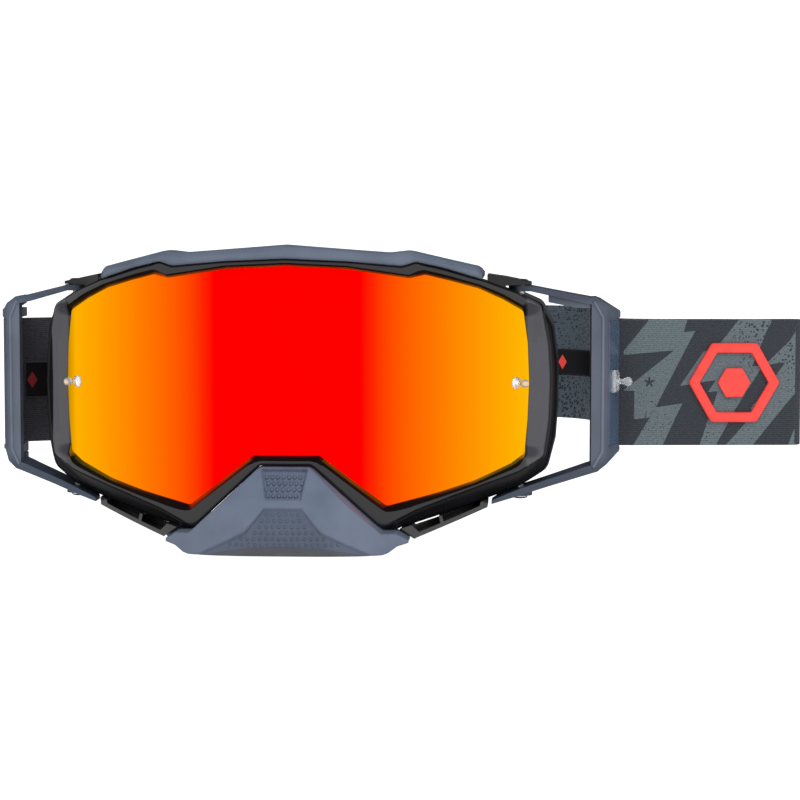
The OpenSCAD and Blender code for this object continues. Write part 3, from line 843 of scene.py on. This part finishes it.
def build_frame():
    """The frame: a step beside the bezel, walls that run back to the face, and a channel for the lens."""
    out, inner = to_frame, to_opening
    under_brow = (guide[:, 1] > 30) & (abs(guide[:, 0]) < 61)
    guard_tip = (guide[:, 1] < -36) & (abs(guide[:, 0]) > 30) & (abs(guide[:, 0]) < 42)
    flange = soften(np.where(under_brow, 1.5, np.where(guard_tip, 3.0, 0.3)), 6)
    wide = soften((out > to_rim + 0.8).astype(float), 3)
    edge = np.maximum(out, to_rim + flange)
    step = [(to_rim - 0.3, -1.6), (to_rim + 0.12, 1.0 + 1.6 * wide),
            (to_rim + 0.12 + 0.58 * wide, 1.1 + 1.7 * wide), (to_rim * 0.45 + edge * 0.55, 1.1 + 1.2 * wide),
            (to_rim * 0.15 + edge * 0.85, 0.9), (edge, -1.0), (out, -3.5)]
    face = [(0, -0.6), (0.4, 0), (5, 0), (10.6, 0), (11, -0.4), (11, 0.2 - FLANGE_T), (10.6, -FLANGE_T),
            (2.4, -FLANGE_T)]
    channel = [(out - 2.4, -5.5), (inner - 1.1, -5.5), (inner - 1.5, -5.1), (inner - 1.5, -2.9),
               (inner - 1.1, -2.5)]
    stations = [on_lens(d, LENS_R + h) for d, h in step]
    stations += [to_face(out, FLANGE_Y, (LENS_R - 2.5, share)) for share in (0.35, 0.7)]
    stations += [to_face(out - d, FLANGE_Y + y) for d, y in face]
    stations += [to_face(out - 2.4, FLANGE_Y - FLANGE_T, (LENS_R - 5.5, 0.6))]
    stations += [on_lens(d, LENS_R + h) for d, h in channel]
    obj = ring("frame_piece", stations, "frame_black", 32)
    obj.visible_glossy = False
    cutter = solids("vent_cutter", slot_boxes(), "frame_black")
    slots = obj.modifiers.new("slots", "BOOLEAN")
    slots.operation = "DIFFERENCE"
    slots.object = cutter
    apply_modifiers(obj)
    bpy.data.objects.remove(cutter)
    obj.data.set_sharp_from_angle(angle=math.radians(32))
    return place(obj, "root", ["main_frame"])


def slot_boxes():
    """The vent slots through the frame's top and lower walls, as the stations of one box each."""
    slots = [(x, 40, 12.0, 8, 24) for x in range(-50, 51, 20)]
    slots += [(side * x, -38, 7.2, 7, 14) for side in (LEFT, RIGHT) for x in (46, 58, 70)]
    boxes = []
    for x, z, wide, deep, high in slots:
        spot = Matrix.Translation((x, float(lens_depth(x, SLOT_R)), z))
        turn = spot @ Matrix.Rotation(math.asin(x / LENS_R), 4, "Z")
        base = [(a * wide / 2, b * deep / 2) for a, b in ((-1, -1), (1, -1), (1, 1), (-1, 1))]
        boxes.append([level(base, h, turn) for h in (-high / 2, high / 2)])
    return boxes


def apply_modifiers(obj):
    """Turns an object's modifiers into its mesh."""
    depsgraph = bpy.context.evaluated_depsgraph_get()
    mesh = bpy.data.meshes.new_from_object(obj.evaluated_get(depsgraph))
    obj.modifiers.clear()
    obj.data = mesh


def build_gasket():
    """The rubber strip behind the edge of the lens."""
    section = ((1.5, 0), (1.5, -0.98), (-1.2, -0.98), (-1.35, -0.8), (-1.35, -0.2), (-1.2, 0))
    stations = [on_lens(to_opening + d, LENS_R - LENS_T + h) for d, h in section]
    obj = ring("gasket_piece", stations, "gasket")
    return place(obj, "root", ["lens_gasket"])


def build_brow():
    """The cover as a swept strip: a crowned front, rounded edges and a lip that runs back over the frame."""
    top = np.array(BROW_TOP, float)
    low = np.array(BROW_LOW, float)
    xs = np.concatenate([np.linspace(0, 33, 34), np.linspace(33.8, 45, 16), np.linspace(46, 64.4, 20)])
    xs = np.concatenate([-xs[::-1], xs[1:]])

    def line(points, x):
        near = [np.interp(abs(abs(x) + d), points[:, 0], points[:, 1]) for d in (-0.8, -0.4, 0, 0.4, 0.8)]
        return sum(near) / len(near)

    stations = []
    for x in xs:
        end = max(0.0, (abs(x) - 61.5) / 2.9)
        t = line(top, x) if abs(x) <= 63 else 42.3 - (abs(x) - 63) * 1.3
        b = line(low, x)
        front = BEZEL_R + 1.5 - 0.9 * end * end
        section = [
            (b + 0.05, BEZEL_R - 3.0), (b, BEZEL_R - 0.4), (b + 0.1, front - 0.45), (b + 0.45, front - 0.08),
            (b + 0.9, front), ((t + b) / 2, front + 0.15), (t - 1.5, front), (t - 0.75, front - 0.35),
            (t - 0.25, front - 1.0), (t - 0.02, front - 1.9), (t - 0.02, 101), (t - 0.3, 92),
            (t - 0.7, BROW_BACK_R + 0.4), (t - 1.3, BROW_BACK_R), (t - 2.0, BROW_BACK_R + 0.4),
            (t - 2.2, 92), (t - 2.2, BEZEL_R - 3.0)]
        stations.append([(x, lens_depth(x, r), z) for z, r in section])
    obj = run("brow_piece", stations, "brow", 45)
    return place(obj, "root", ["brow_cover"])


# ---------------------------------------------------------------- nose guard

GUARD_TOP = [(0, -23.3), (8, -23.3), (9.2, -23.9), (31.7, -44.9), (36.6, -45.3), (41.2, -48.2)]
GUARD_LOW = [(0, -52.1), (32.3, -52.1), (34, -51.6), (37, -49.6), (41.2, -48.6)]
GUARD_PROFILE = [(-22, -52.5), (-33, -58.8), (-41.5, -62.4), (-48.4, -62.6), (-52.3, -60.6)]
PATCH_TOP, PATCH_LOW, PATCH_HALF_TOP, PATCH_HALF_LOW = -24.6, -33.4, 7.7, 6.0


def guard_surface(x, z):
    """Depth of the guard's skin before its fine detail."""
    prof = sorted(GUARD_PROFILE)
    a = np.interp(z, [p[0] for p in prof], [p[1] for p in prof])
    b = -3 - np.sqrt(np.maximum(60.0 ** 2 - np.asarray(x, float) ** 2, 1))
    k = 0.8
    return np.logaddexp(a / k, b / k) * k


def line_distance(x, z, points):
    """The distance from the points (x, z) to an open line."""
    p = np.array(points, float)
    best = 1e9
    for a, b in zip(p[:-1], p[1:]):
        d = b - a
        t = np.clip(((x - a[0]) * d[0] + (z - a[1]) * d[1]) / (d @ d), 0, 1)
        best = np.minimum(best, np.hypot(x - a[0] - t * d[0], z - a[1] - t * d[1]))
    return best


def height_on(line, x):
    """The height at x, on either side of the middle, of a line of (x, height)."""
    return np.interp(abs(x), *zip(*line))


def patch_inset(x, z):
    """How far inside the upper patch a point is, where negative is outside."""
    share = (PATCH_TOP - z) / (PATCH_TOP - PATCH_LOW)
    half = PATCH_HALF_TOP + (PATCH_HALF_LOW - PATCH_HALF_TOP) * share
    return np.minimum(np.minimum(half - abs(x), z - PATCH_LOW), PATCH_TOP - z + 0.9)


def guard_detail(x, z):
    """Extra depth of the guard's recessed patch, engraved panel line and curved lip."""
    sunk = 1.6 * np.clip(patch_inset(x, z) / 0.7, 0, 1)
    groove = 0.55 * np.clip(1 - line_distance(abs(x), z, [(a, -b) for a, b in PANEL_EDGE]) / 0.5, 0, 1)
    panel = np.clip((-height_on(PANEL_EDGE, x) - z) / 0.3, 0, 1) * 0.3
    lip = np.clip(-height_on(LIP_EDGE, x) - z, 0, 4) * 0.9
    return sunk + groove + panel + lip


def build_guard():
    """The nose guard: its skin in front, and a shelf and a back that follow it behind."""
    xs = np.concatenate([np.arange(0, 30, 0.3), np.arange(30, 41.0, 0.5)])
    stations = []
    for x in np.concatenate([-xs[::-1], xs[1:]]):
        top, low = height_on(GUARD_TOP, x), height_on(GUARD_LOW, x)
        z = np.linspace(low, top, 100)
        edge = np.clip(np.minimum(z - low, top - z) / 0.5, 0, 1)
        y = guard_surface(x, z) + guard_detail(x, z) + 0.35 * (1 - edge) ** 2
        behind = lens_depth(x, LENS_R - 1.7)
        shelf = max(top - 3.0, low + 0.2)
        inner = np.linspace(shelf, low, 12)
        back = np.minimum(guard_surface(x, inner) + 2.4, behind)
        section = list(zip(y, z)) + [(behind, top), (behind, shelf)] + list(zip(back, inner))
        stations.append([(x, *spot) for spot in section])
    obj = run("guard_piece", stations, "guard", 30)
    place(obj, "nose_guard", ["nose_guard"])
    studs = solids("guard_studs", [stud(*spot) for spot in stud_spots()], "guard", 50)
    place(studs, "nose_guard", [])


def stud_spots():
    """The studs in the patch and on the panel, in offset rows, as (x, z, radius, height)."""
    spots = []
    for row in range(4):
        z = -26.3 - row * 1.95
        for column in range(-3, 4):
            x = column * 1.85 + (0.45 if row % 2 else -0.2)
            if patch_inset(x, z) > 0.75:
                spots.append((x, z, 0.82, 1.15))
    for row in range(6):
        z = -37.9 - row * 2.0
        half = np.interp(-z, [36.3, 44, 52], [6.4, 12.4, 28.5]) - 1.5
        count = int(half / 2.1)
        for column in range(-count - 1, count + 1):
            x = (column + 0.5) * 2.1 + (0.5 if row % 2 else 0)
            if abs(x) < half and -z < height_on(LIP_EDGE, x) - 0.7:
                spots.append((x, z, 0.7, 0.34))
    return spots


def stud(x, z, radius, high):
    """One eight-sided stud that stands on the guard's skin, as stations."""
    y = float(guard_surface(x, z) + guard_detail(x, z))
    stations = []
    for r, h in ((radius, -0.3), (radius * 0.95, 0.0), (radius * 0.55, high * 0.8), (0.18, high)):
        points = []
        for a in (math.pi * (k + 0.5) / 4 for k in range(8)):
            px, pz = x + r * math.cos(a), z + r * math.sin(a) * 0.95
            lean = float(guard_surface(px, pz) - guard_surface(x, z))
            points.append((px, y + lean - h, pz))
        stations.append(points)
    return stations


# ---------------------------------------------------------------- face foam

def foam_ring(name, outer, inner, front, back, node, slot, bulge):
    """A foam layer on the face's curve with soft, slightly bulging sides."""
    rad = min(0.9, (back - front) * 0.3)

    def wall(edge, way):
        return [(edge - way * rad, front), (edge - way * rad * 0.3, front + rad * 0.3), (edge, front + rad),
                (edge + way * bulge, (front + back) / 2), (edge, back - rad),
                (edge - way * rad * 0.3, back - rad * 0.3), (edge - way * rad, back)]

    section = wall(outer, 1) + [((outer + inner) / 2, back + 0.15)] + wall(inner, -1)[::-1]
    obj = ring(name, [to_face(d, y) for d, y in section], slot, 60)
    place(obj, "root", [node])
    return obj


def build_foam():
    """The three layers of the face foam, from the frame back to the face."""
    out = to_frame
    foam_ring("base_foam_piece", out - 0.8, out - 10.8, FLANGE_Y, -6.05, "base_foam", "base_foam", 0.25)
    foam_ring("middle_foam_piece", out - 1.2, out - 10.4, -5.95, -1.55, "middle_foam", "middle_foam", 0.35)
    foam_ring("fleece_piece", out - 1.5, out - 10, -1.5, 0, "face_fleece", "fleece", 0.1)


# ---------------------------------------------------------------- straps

BAR = np.array([108.6, 40.2])
BAR_R = 1.7
LOOP_R = BAR_R + 0.1 + STRAP_T / 2
FRONT_RUN = [(116, 37.6), (170.5, 41.9)]
LEFT_ROUTE = [(170.5, 41.9), (174.6, 42.3), (176.7, 43.6), (176.7, 45.4), (174.4, 46.7), (170.5, 46.3),
              (162, 45.5), (148, 44.5), (132, 43.8), (121, 44.4), (114.2, 46.4), (110.6, 50.2), (109.4, 56),
              (109, 70), (108.5, 98), (107, 124), (102, 143), (88, 154.5), (66, 159.3), (50, 160), (20, 160),
              (-14, 160)]
RIGHT_ROUTE = [(-86.2, 47.8), (-84.4, 48.7), (-81.8, 51.4), (-79.7, 56), (-77.5, 66), (-75, 82),
               (-71.5, 100), (-65.5, 118), (-56, 135), (-43, 149.5), (-29, 158.5), (-14, 162.8), (0, 163.4),
               (20, 163.4), (46, 163.4)]
RIGHT_TURN = math.radians(155)      # the way the right end leaves its bar, seen mirrored
# Where each strap stops following the frame and starts following its outrigger, as ends of a line
LEFT_BLEND = ((0.168, 0.0417, 0.0), (0.1314, 0.0175, 0.0))
RIGHT_BLEND = ((-0.072, 0.100, 0.0), (-0.098, 0.042, 0.0))


SEAM_Y = 141            # the strap's front and rear pieces meet here
PRINT_START = -13       # the place along the print where each strap begins, behind its bar
TAIL_START = 125        # and where the sewn tail begins, past the fold


def band(name, route, width, thick, material, start=0.0, rows=11, side_offset=0.0, part=None):
    """Webbing along a plan route, as a thin solid with rounded edges and its length and height as UVs."""
    p = np.array(route, float)
    t = unit(np.gradient(p, axis=0))
    n = np.stack([-t[:, 1], t[:, 0]], 1)
    d = start + lengths(p)
    edge, face, corner = width / 2, thick / 2, thick * 0.22
    half = [(v, face) for v in np.linspace(-edge, edge, rows)[1:-1]]
    half += [(edge - 0.25, face), (edge, corner), (edge, -corner), (edge - 0.25, -face)]
    section = half + [(-v, -off) for v, off in half]
    stations, uvs = [], []
    first, last = part or (0, len(p))
    for k in range(first, last):
        spots = [(p[k] + n[k] * (off + side_offset), v) for v, off in section]
        stations.append([(*q, STRAP_Z + v) for q, v in spots])
        uvs += [(d[k] * 0.001, v * 0.001) for q, v in spots]
    return run(name, stations, material, 60, uvs), d[last - 1] - d[first]


def on_bar(local, side):
    """Puts points that are given from the strap bar, with the strap leaving along +x, in the plan."""
    p = np.array(local, float)
    if side == RIGHT:
        c, s = math.cos(RIGHT_TURN), math.sin(RIGHT_TURN)
        p = (p * (1, -1)) @ np.array([[c, s], [-s, c]])
    return (p + BAR) * (side, 1)


def loop_on_bar(side):
    """The middle line of the webbing from behind the bar, round it and out to where the strap goes on."""
    a = np.radians(np.linspace(90, 270, 15))
    arc = np.stack([np.cos(a), np.sin(a)], 1) * LOOP_R
    return on_bar(np.vstack([arc, np.stack([np.linspace(0.8, 7.4, 5), np.full(5, -LOOP_R)], 1)]), side)


def straight_part(side, begin=7.4):
    """The straight stretch of each strap beside its bar."""
    if side == LEFT:
        return np.linspace(*FRONT_RUN, 42)[1:-1]
    return np.linspace(on_bar([(begin, -LOOP_R)], RIGHT)[0], RIGHT_ROUTE[0], 12)[1:-1]


def build_strap(side, word, material, bend):
    """One half of the strap: round its bar, along its route and back to the slider, with the sewn tail."""
    route = smooth_line(LEFT_ROUTE if side == LEFT else RIGHT_ROUTE, 7)
    line = np.vstack([loop_on_bar(side), straight_part(side), route])
    seam = int(np.argmax(line[:, 1] > SEAM_Y)) + 1

    def half(piece, part):
        return band(f"{word}_strap_{piece}", line, STRAP_W, STRAP_T, material, start=PRINT_START, part=part)

    front, length = half("front", (0, seam))
    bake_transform(front, "root", f"outrigger_{word}", start=bend[0], end=bend[1])
    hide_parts(f"strap_{word}", f"strap_end_{word}", f"strap_loop_{word}")
    0.001 * length
    rear, length = half("rear", (seam - 1, len(line)))
    place(rear, "root")
    0.001 * length
    slant = 1.0 if side == LEFT else 0.0
    bends = [(1.0, 2.1), (3.4, 1.4), (5.9, -0.5), (7.6, -0.95), (20.4, -0.95 + slant)]
    tail = smooth_line(on_bar(bends, side), 5)
    piece, length = band(f"{word}_strap_tail", tail, STRAP_W - 1, STRAP_T, material, start=TAIL_START)
    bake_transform(piece, "root", f"outrigger_{word}", start=bend[0], end=bend[1])
    0.001 * length


def build_grip_bands():
    """Silicone printed as a low band on the strap's inner face, with its edges and small marks."""
    left = smooth_line(LEFT_ROUTE, 7)[98:133]
    right = np.vstack([straight_part(RIGHT, 1.0), smooth_line(RIGHT_ROUTE, 7)[:66]])
    for line, sign, word, width, marks in ((left, 1, "left", 10.2, (93.5, 72)),
                                           (right, -1, "right", 12.2, (-103.5, -62))):
        grip, _ = band(f"{word}_grip_band", line, width, 0.5, "silicone",
                       side_offset=sign * (STRAP_T / 2 + 0.27))
        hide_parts(f"grip_band_{word}")
        body = [grip]
        if word == "right":
            for z, end in ((-width / 2 - 0.3, "low"), (width / 2 + 0.3, "top")):
                ridge, _ = band(f"{word}_grip_edge_{end}", line, 0.6, 0.55, "plain",
                                side_offset=sign * (STRAP_T / 2 + 0.3), rows=3)
                ridge.data.transform(Matrix.Translation((0, 0, z * 0.001)))
                body.append(ridge)
        for x in marks:
            k = int(np.argmin(abs(line[1:-1, 0] - x))) + 1
            body.append(lozenge_on(line, sign, k, f"{word}_grip_mark_{k}"))
        for obj in body:
            if word == "right":
                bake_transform(obj, "root", "outrigger_right", start=RIGHT_BLEND[0], end=RIGHT_BLEND[1])
            else:
                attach(obj, "root")


def lozenge_on(line, sign, k, name):
    """A small plain lozenge standing on a grip band."""
    t = unit(line[k + 1] - line[k - 1])
    n = np.array([-t[1], t[0]]) * sign
    matrix = facing(n, (*(line[k] + n * (STRAP_T / 2 + 0.45)), STRAP_Z))
    outline = [(-2.0, 0), (0, 3.0), (2.0, 0), (0, -3.0)]
    # The right band's marks take the darker red as painted shade; the left band's take the emblem's red.
    return with_bevel(extruded(name, outline, 0.35, "mark" if sign < 0 else "emblem", matrix), 0.12)


EMBLEM_X = 153.3
EMBLEM_OUT, EMBLEM_IN, EMBLEM_BOSS = 16.5, 12.4, 6.0       # corner radii of the ring and of the boss


def build_emblem():
    """A generic raised badge: a six-sided ring round a six-sided boss, with softened edges."""
    begin, end = np.array(FRONT_RUN, float)
    t = unit(end - begin)
    n = np.array([t[1], -t[0]])
    spot = begin + (end - begin) * (EMBLEM_X - begin[0]) / (end[0] - begin[0]) + n * (STRAP_T / 2 + 0.02)
    matrix = facing(n, (*spot, STRAP_Z))

    def hexagon(radius, corner, steps):
        angles = [math.radians(60 * k) for k in range(6)]
        return rounded([(radius * math.cos(a), radius * math.sin(a)) for a in angles], corner, steps)

    outer, inner = hexagon(EMBLEM_OUT, 1.6, 5), hexagon(EMBLEM_IN, 1.0, 5)
    levels = [(0, 0.0), (0, 0.75), (0.18, 1.08), (0.5, 1.2)]
    stations = [level(outer * (1 - inset / EMBLEM_OUT), h, matrix) for inset, h in levels]
    stations += [level(inner * (1 + inset / EMBLEM_IN), h, matrix) for inset, h in reversed(levels)]
    ring_piece = ring("emblem_ring", stations, "emblem", 50)
    boss = extruded("emblem_boss", hexagon(EMBLEM_BOSS, 0.9, 4), 1.2, "emblem", matrix)
    apply_modifiers(with_bevel(boss, 0.35, 3))
    for obj in (ring_piece, boss):
        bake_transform(obj, "root", "outrigger_left", start=LEFT_BLEND[0], end=LEFT_BLEND[1])
    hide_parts("strap_emblem")


# ---------------------------------------------------------------- hardware

def post_matrix(side):
    """The place of a tear-off post near one end of the lens, square to it."""
    x = POST_X * side
    n = (x / LENS_R, -math.sqrt(1 - (x / LENS_R) ** 2))
    return facing(n, (x, float(lens_depth(x, LENS_R)), POST_Z))


def build_posts():
    """Clear ball-ended posts: one at each end of the lens, and the larger one on the left outrigger."""
    profile = [(0.0, 0.02), (2.0, 0.02), (2.1, 0.3), (1.85, 0.75), (1.2, 0.95), (0.85, 1.5), (0.8, 2.6),
               (0.95, 3.2)] + ball(1.4, 4.22, -38, 9)
    for side, word in SIDES:
        obj = turned(f"tearoff_post_{word}_piece", profile, "clear", post_matrix(side), 28, 60)
        obj.visible_glossy = False
        place(obj, "root", [f"tearoff_post_{word}"])
    m = facing(TAB_POST_WAY, TAB_POST_AT)
    foot, top, dish = (rounded([(-w, -h), (w, -h), (w, h), (-w, h)], corner, 4)
                       for w, h, corner in ((3.2, 4, 0.9), (2.5, 3.2, 0.8), (1.7, 2.3, 0.6)))
    levels = ((foot, 0.0), (foot, 0.6), (top, 1.3), (dish, 1.25), (dish * 0.9, 0.75))
    base = run("tab_post_foot", [level(outline, h, m) for outline, h in levels], "clear", 40)
    place(base, "outrigger_left", ["tab_post"])
    stem = [(0.0, 0.7), (1.5, 0.7), (1.3, 1.2), (1.0, 1.8), (0.95, 3.2)] + ball(1.65, 5, -45, 10)
    stem = turned("tab_post_ball", stem, "clear", m, 28, 60)
    place(stem, "outrigger_left", [])


def build_screws():
    """Domed screws with a round recess, above and below each hinge."""
    profile = [(0.0, -4), (1.5, -4), (1.5, 0.0), (2.6, 0.02), (2.6, 0.45), (2.35, 0.8), (1.7, 1.0),
               (0.9, 1.0), (0.75, 0.5), (0.0, 0.45)]
    for side, word in SIDES:
        nodes = [f"hinge_screws_{word}"]
        for z, end, turn in ((SCREW_TOP, "top", 0), (SCREW_LOW, "low", math.pi)):
            m = Matrix.Translation((SCREW_X * side, SCREW_Y, z)) @ Matrix.Rotation(turn, 4, "X")
            obj = turned(f"hinge_screw_{word}_{end}", profile, "steel", m, 32, 35)
            place(obj, "root", nodes if end == "top" else [])


def build_vent_shade_sheets():
    """Dark sheets that stand in for shade: one behind each window of the lower vents, and one that closes
    the gap by the nose guard.
    """
    shade_sheets = [((64.6, -37.6), (63.9, -39.4), (51.4, -43.9), (50.6, -41.7)),
              ((50.3, -42.2), (50.9, -44.2), (43.4, -47.0), (41.0, -44.9)),
              ((38.4, -45.0), (42.8, -48.5), (41.9, -49.5), (36.6, -46.0))]
    for side, word in SIDES:
        for k, shade_sheet in enumerate(shade_sheets):
            line = rounded(shade_sheet, 0.4, 4)
            stations = []
            for behind, shrink in ((4.6, 0.025), (5.0, 0), (6.2, 0), (6.6, 0.025)):
                edge = line + (line.mean(0) - line) * shrink
                stations.append([(side * x, lens_depth(x, LENS_R - behind), z) for x, z in edge])
            obj = run(f"vent_shade_sheet_{word}_{k}", stations, "vent_black", 40)
            place(obj, "root")


def build_ridges():
    """The raised ridge down the sloping front of each outrigger's upright, leaning inwards at both ends."""
    start, end = np.array([101.7, 14.0]), np.array([107.4, 20.0])
    along = unit(end - start)
    out = np.array([along[1], -along[0]])
    line = spaced([(1.0, 28.8), (5.9, 22.8), (5.7, -24.6), (1.0, -29.8)], 60, closed=False)
    section = [(-0.55, -0.3), (-0.55, 0.1), (-0.28, 0.45), (0.28, 0.45), (0.55, 0.1), (0.55, -0.3)]
    ahead = unit(np.gradient(line, axis=0))
    for side, word in SIDES:
        stations = []
        for (s, z), (ds, dz) in zip(line, ahead):
            spots = [(start + along * (s - dz * across) + out * height, z + ds * across)
                     for across, height in section]
            stations.append([(side * x, y, v) for (x, y), v in spots])
        obj = run(f"outrigger_ridge_{word}", stations, "slate", 40)
        place(obj, f"outrigger_{word}")


def build_hardware():
    """The pieces that are CAD solids with softened edges, and the strap bars."""
    bar = [(0.0, 0.0), (1.35, 0.0), (1.7, 0.35), (1.7, 51.75), (1.35, 52.1), (0.0, 52.1)]
    for side, word in SIDES:
        refined(f"hinge_lug_{word}", 0.5, "frame_black")
        refined(f"lower_vent_{word}", 0.22, "vent_black")
        body = f"outrigger_{word}"
        refined(body, 0.55, body, body)
        refined(f"side_plate_{word}", 0.3, "plate", body)
        m = Matrix.Translation((BAR[0] * side, BAR[1], STRAP_Z - 26.05))
        obj = turned(f"strap_bar_{word}_piece", bar, "steel", m, 32, 35)
        place(obj, body, [f"strap_bar_{word}"])
    refined("strap_slider", 0.6, "slider", "strap_slider")
    refined("top_vent_foam", 0.3, "vent_foam")
    refined("lower_vent_foam", 0.3, "vent_foam")


# ---------------------------------------------------------------- stage

def build_camera():
    """A view from a little to the wearer's left and a little above, at 0.9 m."""
    aim, far = Vector((0.035, 0.0, -0.005)), 0.9
    azimuth, elevation = math.radians(3.39), math.radians(4.6)
    flat = math.cos(elevation)
    away = Vector((math.sin(azimuth) * flat, -math.cos(azimuth) * flat, math.sin(elevation)))
    data = bpy.data.cameras.new("camera")
    data.lens = 116.18          # fills the frame with what stands 0.28 m wide at that distance
    data.sensor_width = 36
    data.clip_end = 20
    obj = add_object("camera", data)
    obj.location = aim + away * far
    obj.rotation_euler = (-away).to_track_quat("-Z", "Y").to_euler()
    bpy.context.scene.camera = obj


def build_world():
    """Soft studio light: a bright room in front and at the sides, darker above, below and behind."""
    world = bpy.data.worlds.new("studio")
    bpy.context.scene.world = world
    world.use_nodes = True
    t = Nodes(world.node_tree)
    _, y, z = t.axes(t.node("TexCoord", "Generated"))
    depth = t.ramp(t.share(y, -1, 1), [(0.0, 1.0), (0.62, 1.0), (0.72, 0.12), (1.0, 0.1)])
    height = t.ramp(t.share(z, -1, 1), [(0.0, 0.02), (0.22, 0.05), (0.36, 1.0), (0.66, 1.0), (0.8, 0.06),
                                        (0.9, 0.03), (1.0, 0.03)])
    seen = t.node("LightPath", "Is Camera Ray")
    background = t.tree.nodes["Background"]
    t.give(background.inputs["Color"], t.mix(seen, depth * height, (1.05, 1.05, 1.05)))
    t.give(background.inputs["Strength"], 1.0)


def area_light(name, spot, target, size, power):
    """A soft light that shiny pieces don't mirror."""
    data = bpy.data.lights.new(name, "AREA")
    data.shape = "RECTANGLE"
    data.size, data.size_y = size
    data.energy = power
    obj = add_object(name, data)
    obj.location = spot
    obj.rotation_euler = (Vector(target) - Vector(spot)).to_track_quat("-Z", "Y").to_euler()
    obj.visible_glossy = False


FLOOR_R, FLOOR_SIDES, FLOOR_GAP = 6000, 96, 0.4


def build_stage():
    """A plain pale floor that the nose guard stands on, running out of sight in white."""
    low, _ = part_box("nose_guard")
    a = np.linspace(0, 2 * math.pi, FLOOR_SIDES + 1)[:-1]
    verts = [(FLOOR_R * math.cos(t), FLOOR_R * math.sin(t), low.z * 1000 - FLOOR_GAP) for t in a]
    floor = make("floor", verts, [tuple(range(FLOOR_SIDES))], "floor")
    floor.visible_glossy = False
    area_light("key", (0.5, -1.2, 1.5), (0.02, 0.05, 0), (1.6, 1.0), 22)
    area_light("top", (0.0, 0.1, 1.6), (0, 0.05, 0), (1.8, 1.8), 18)


build_camera()
build_world()
build_stage()
build_lens()
build_bezel()
build_frame()
build_gasket()
build_brow()
build_guard()
build_foam()
build_strap(LEFT, "left", "print", LEFT_BLEND)
build_strap(RIGHT, "right", "plain", RIGHT_BLEND)
build_grip_bands()
build_emblem()
build_posts()
build_screws()
build_hardware()
build_ridges()
build_vent_shade_sheets()
bpy.context.scene.view_settings.view_transform = "Standard"
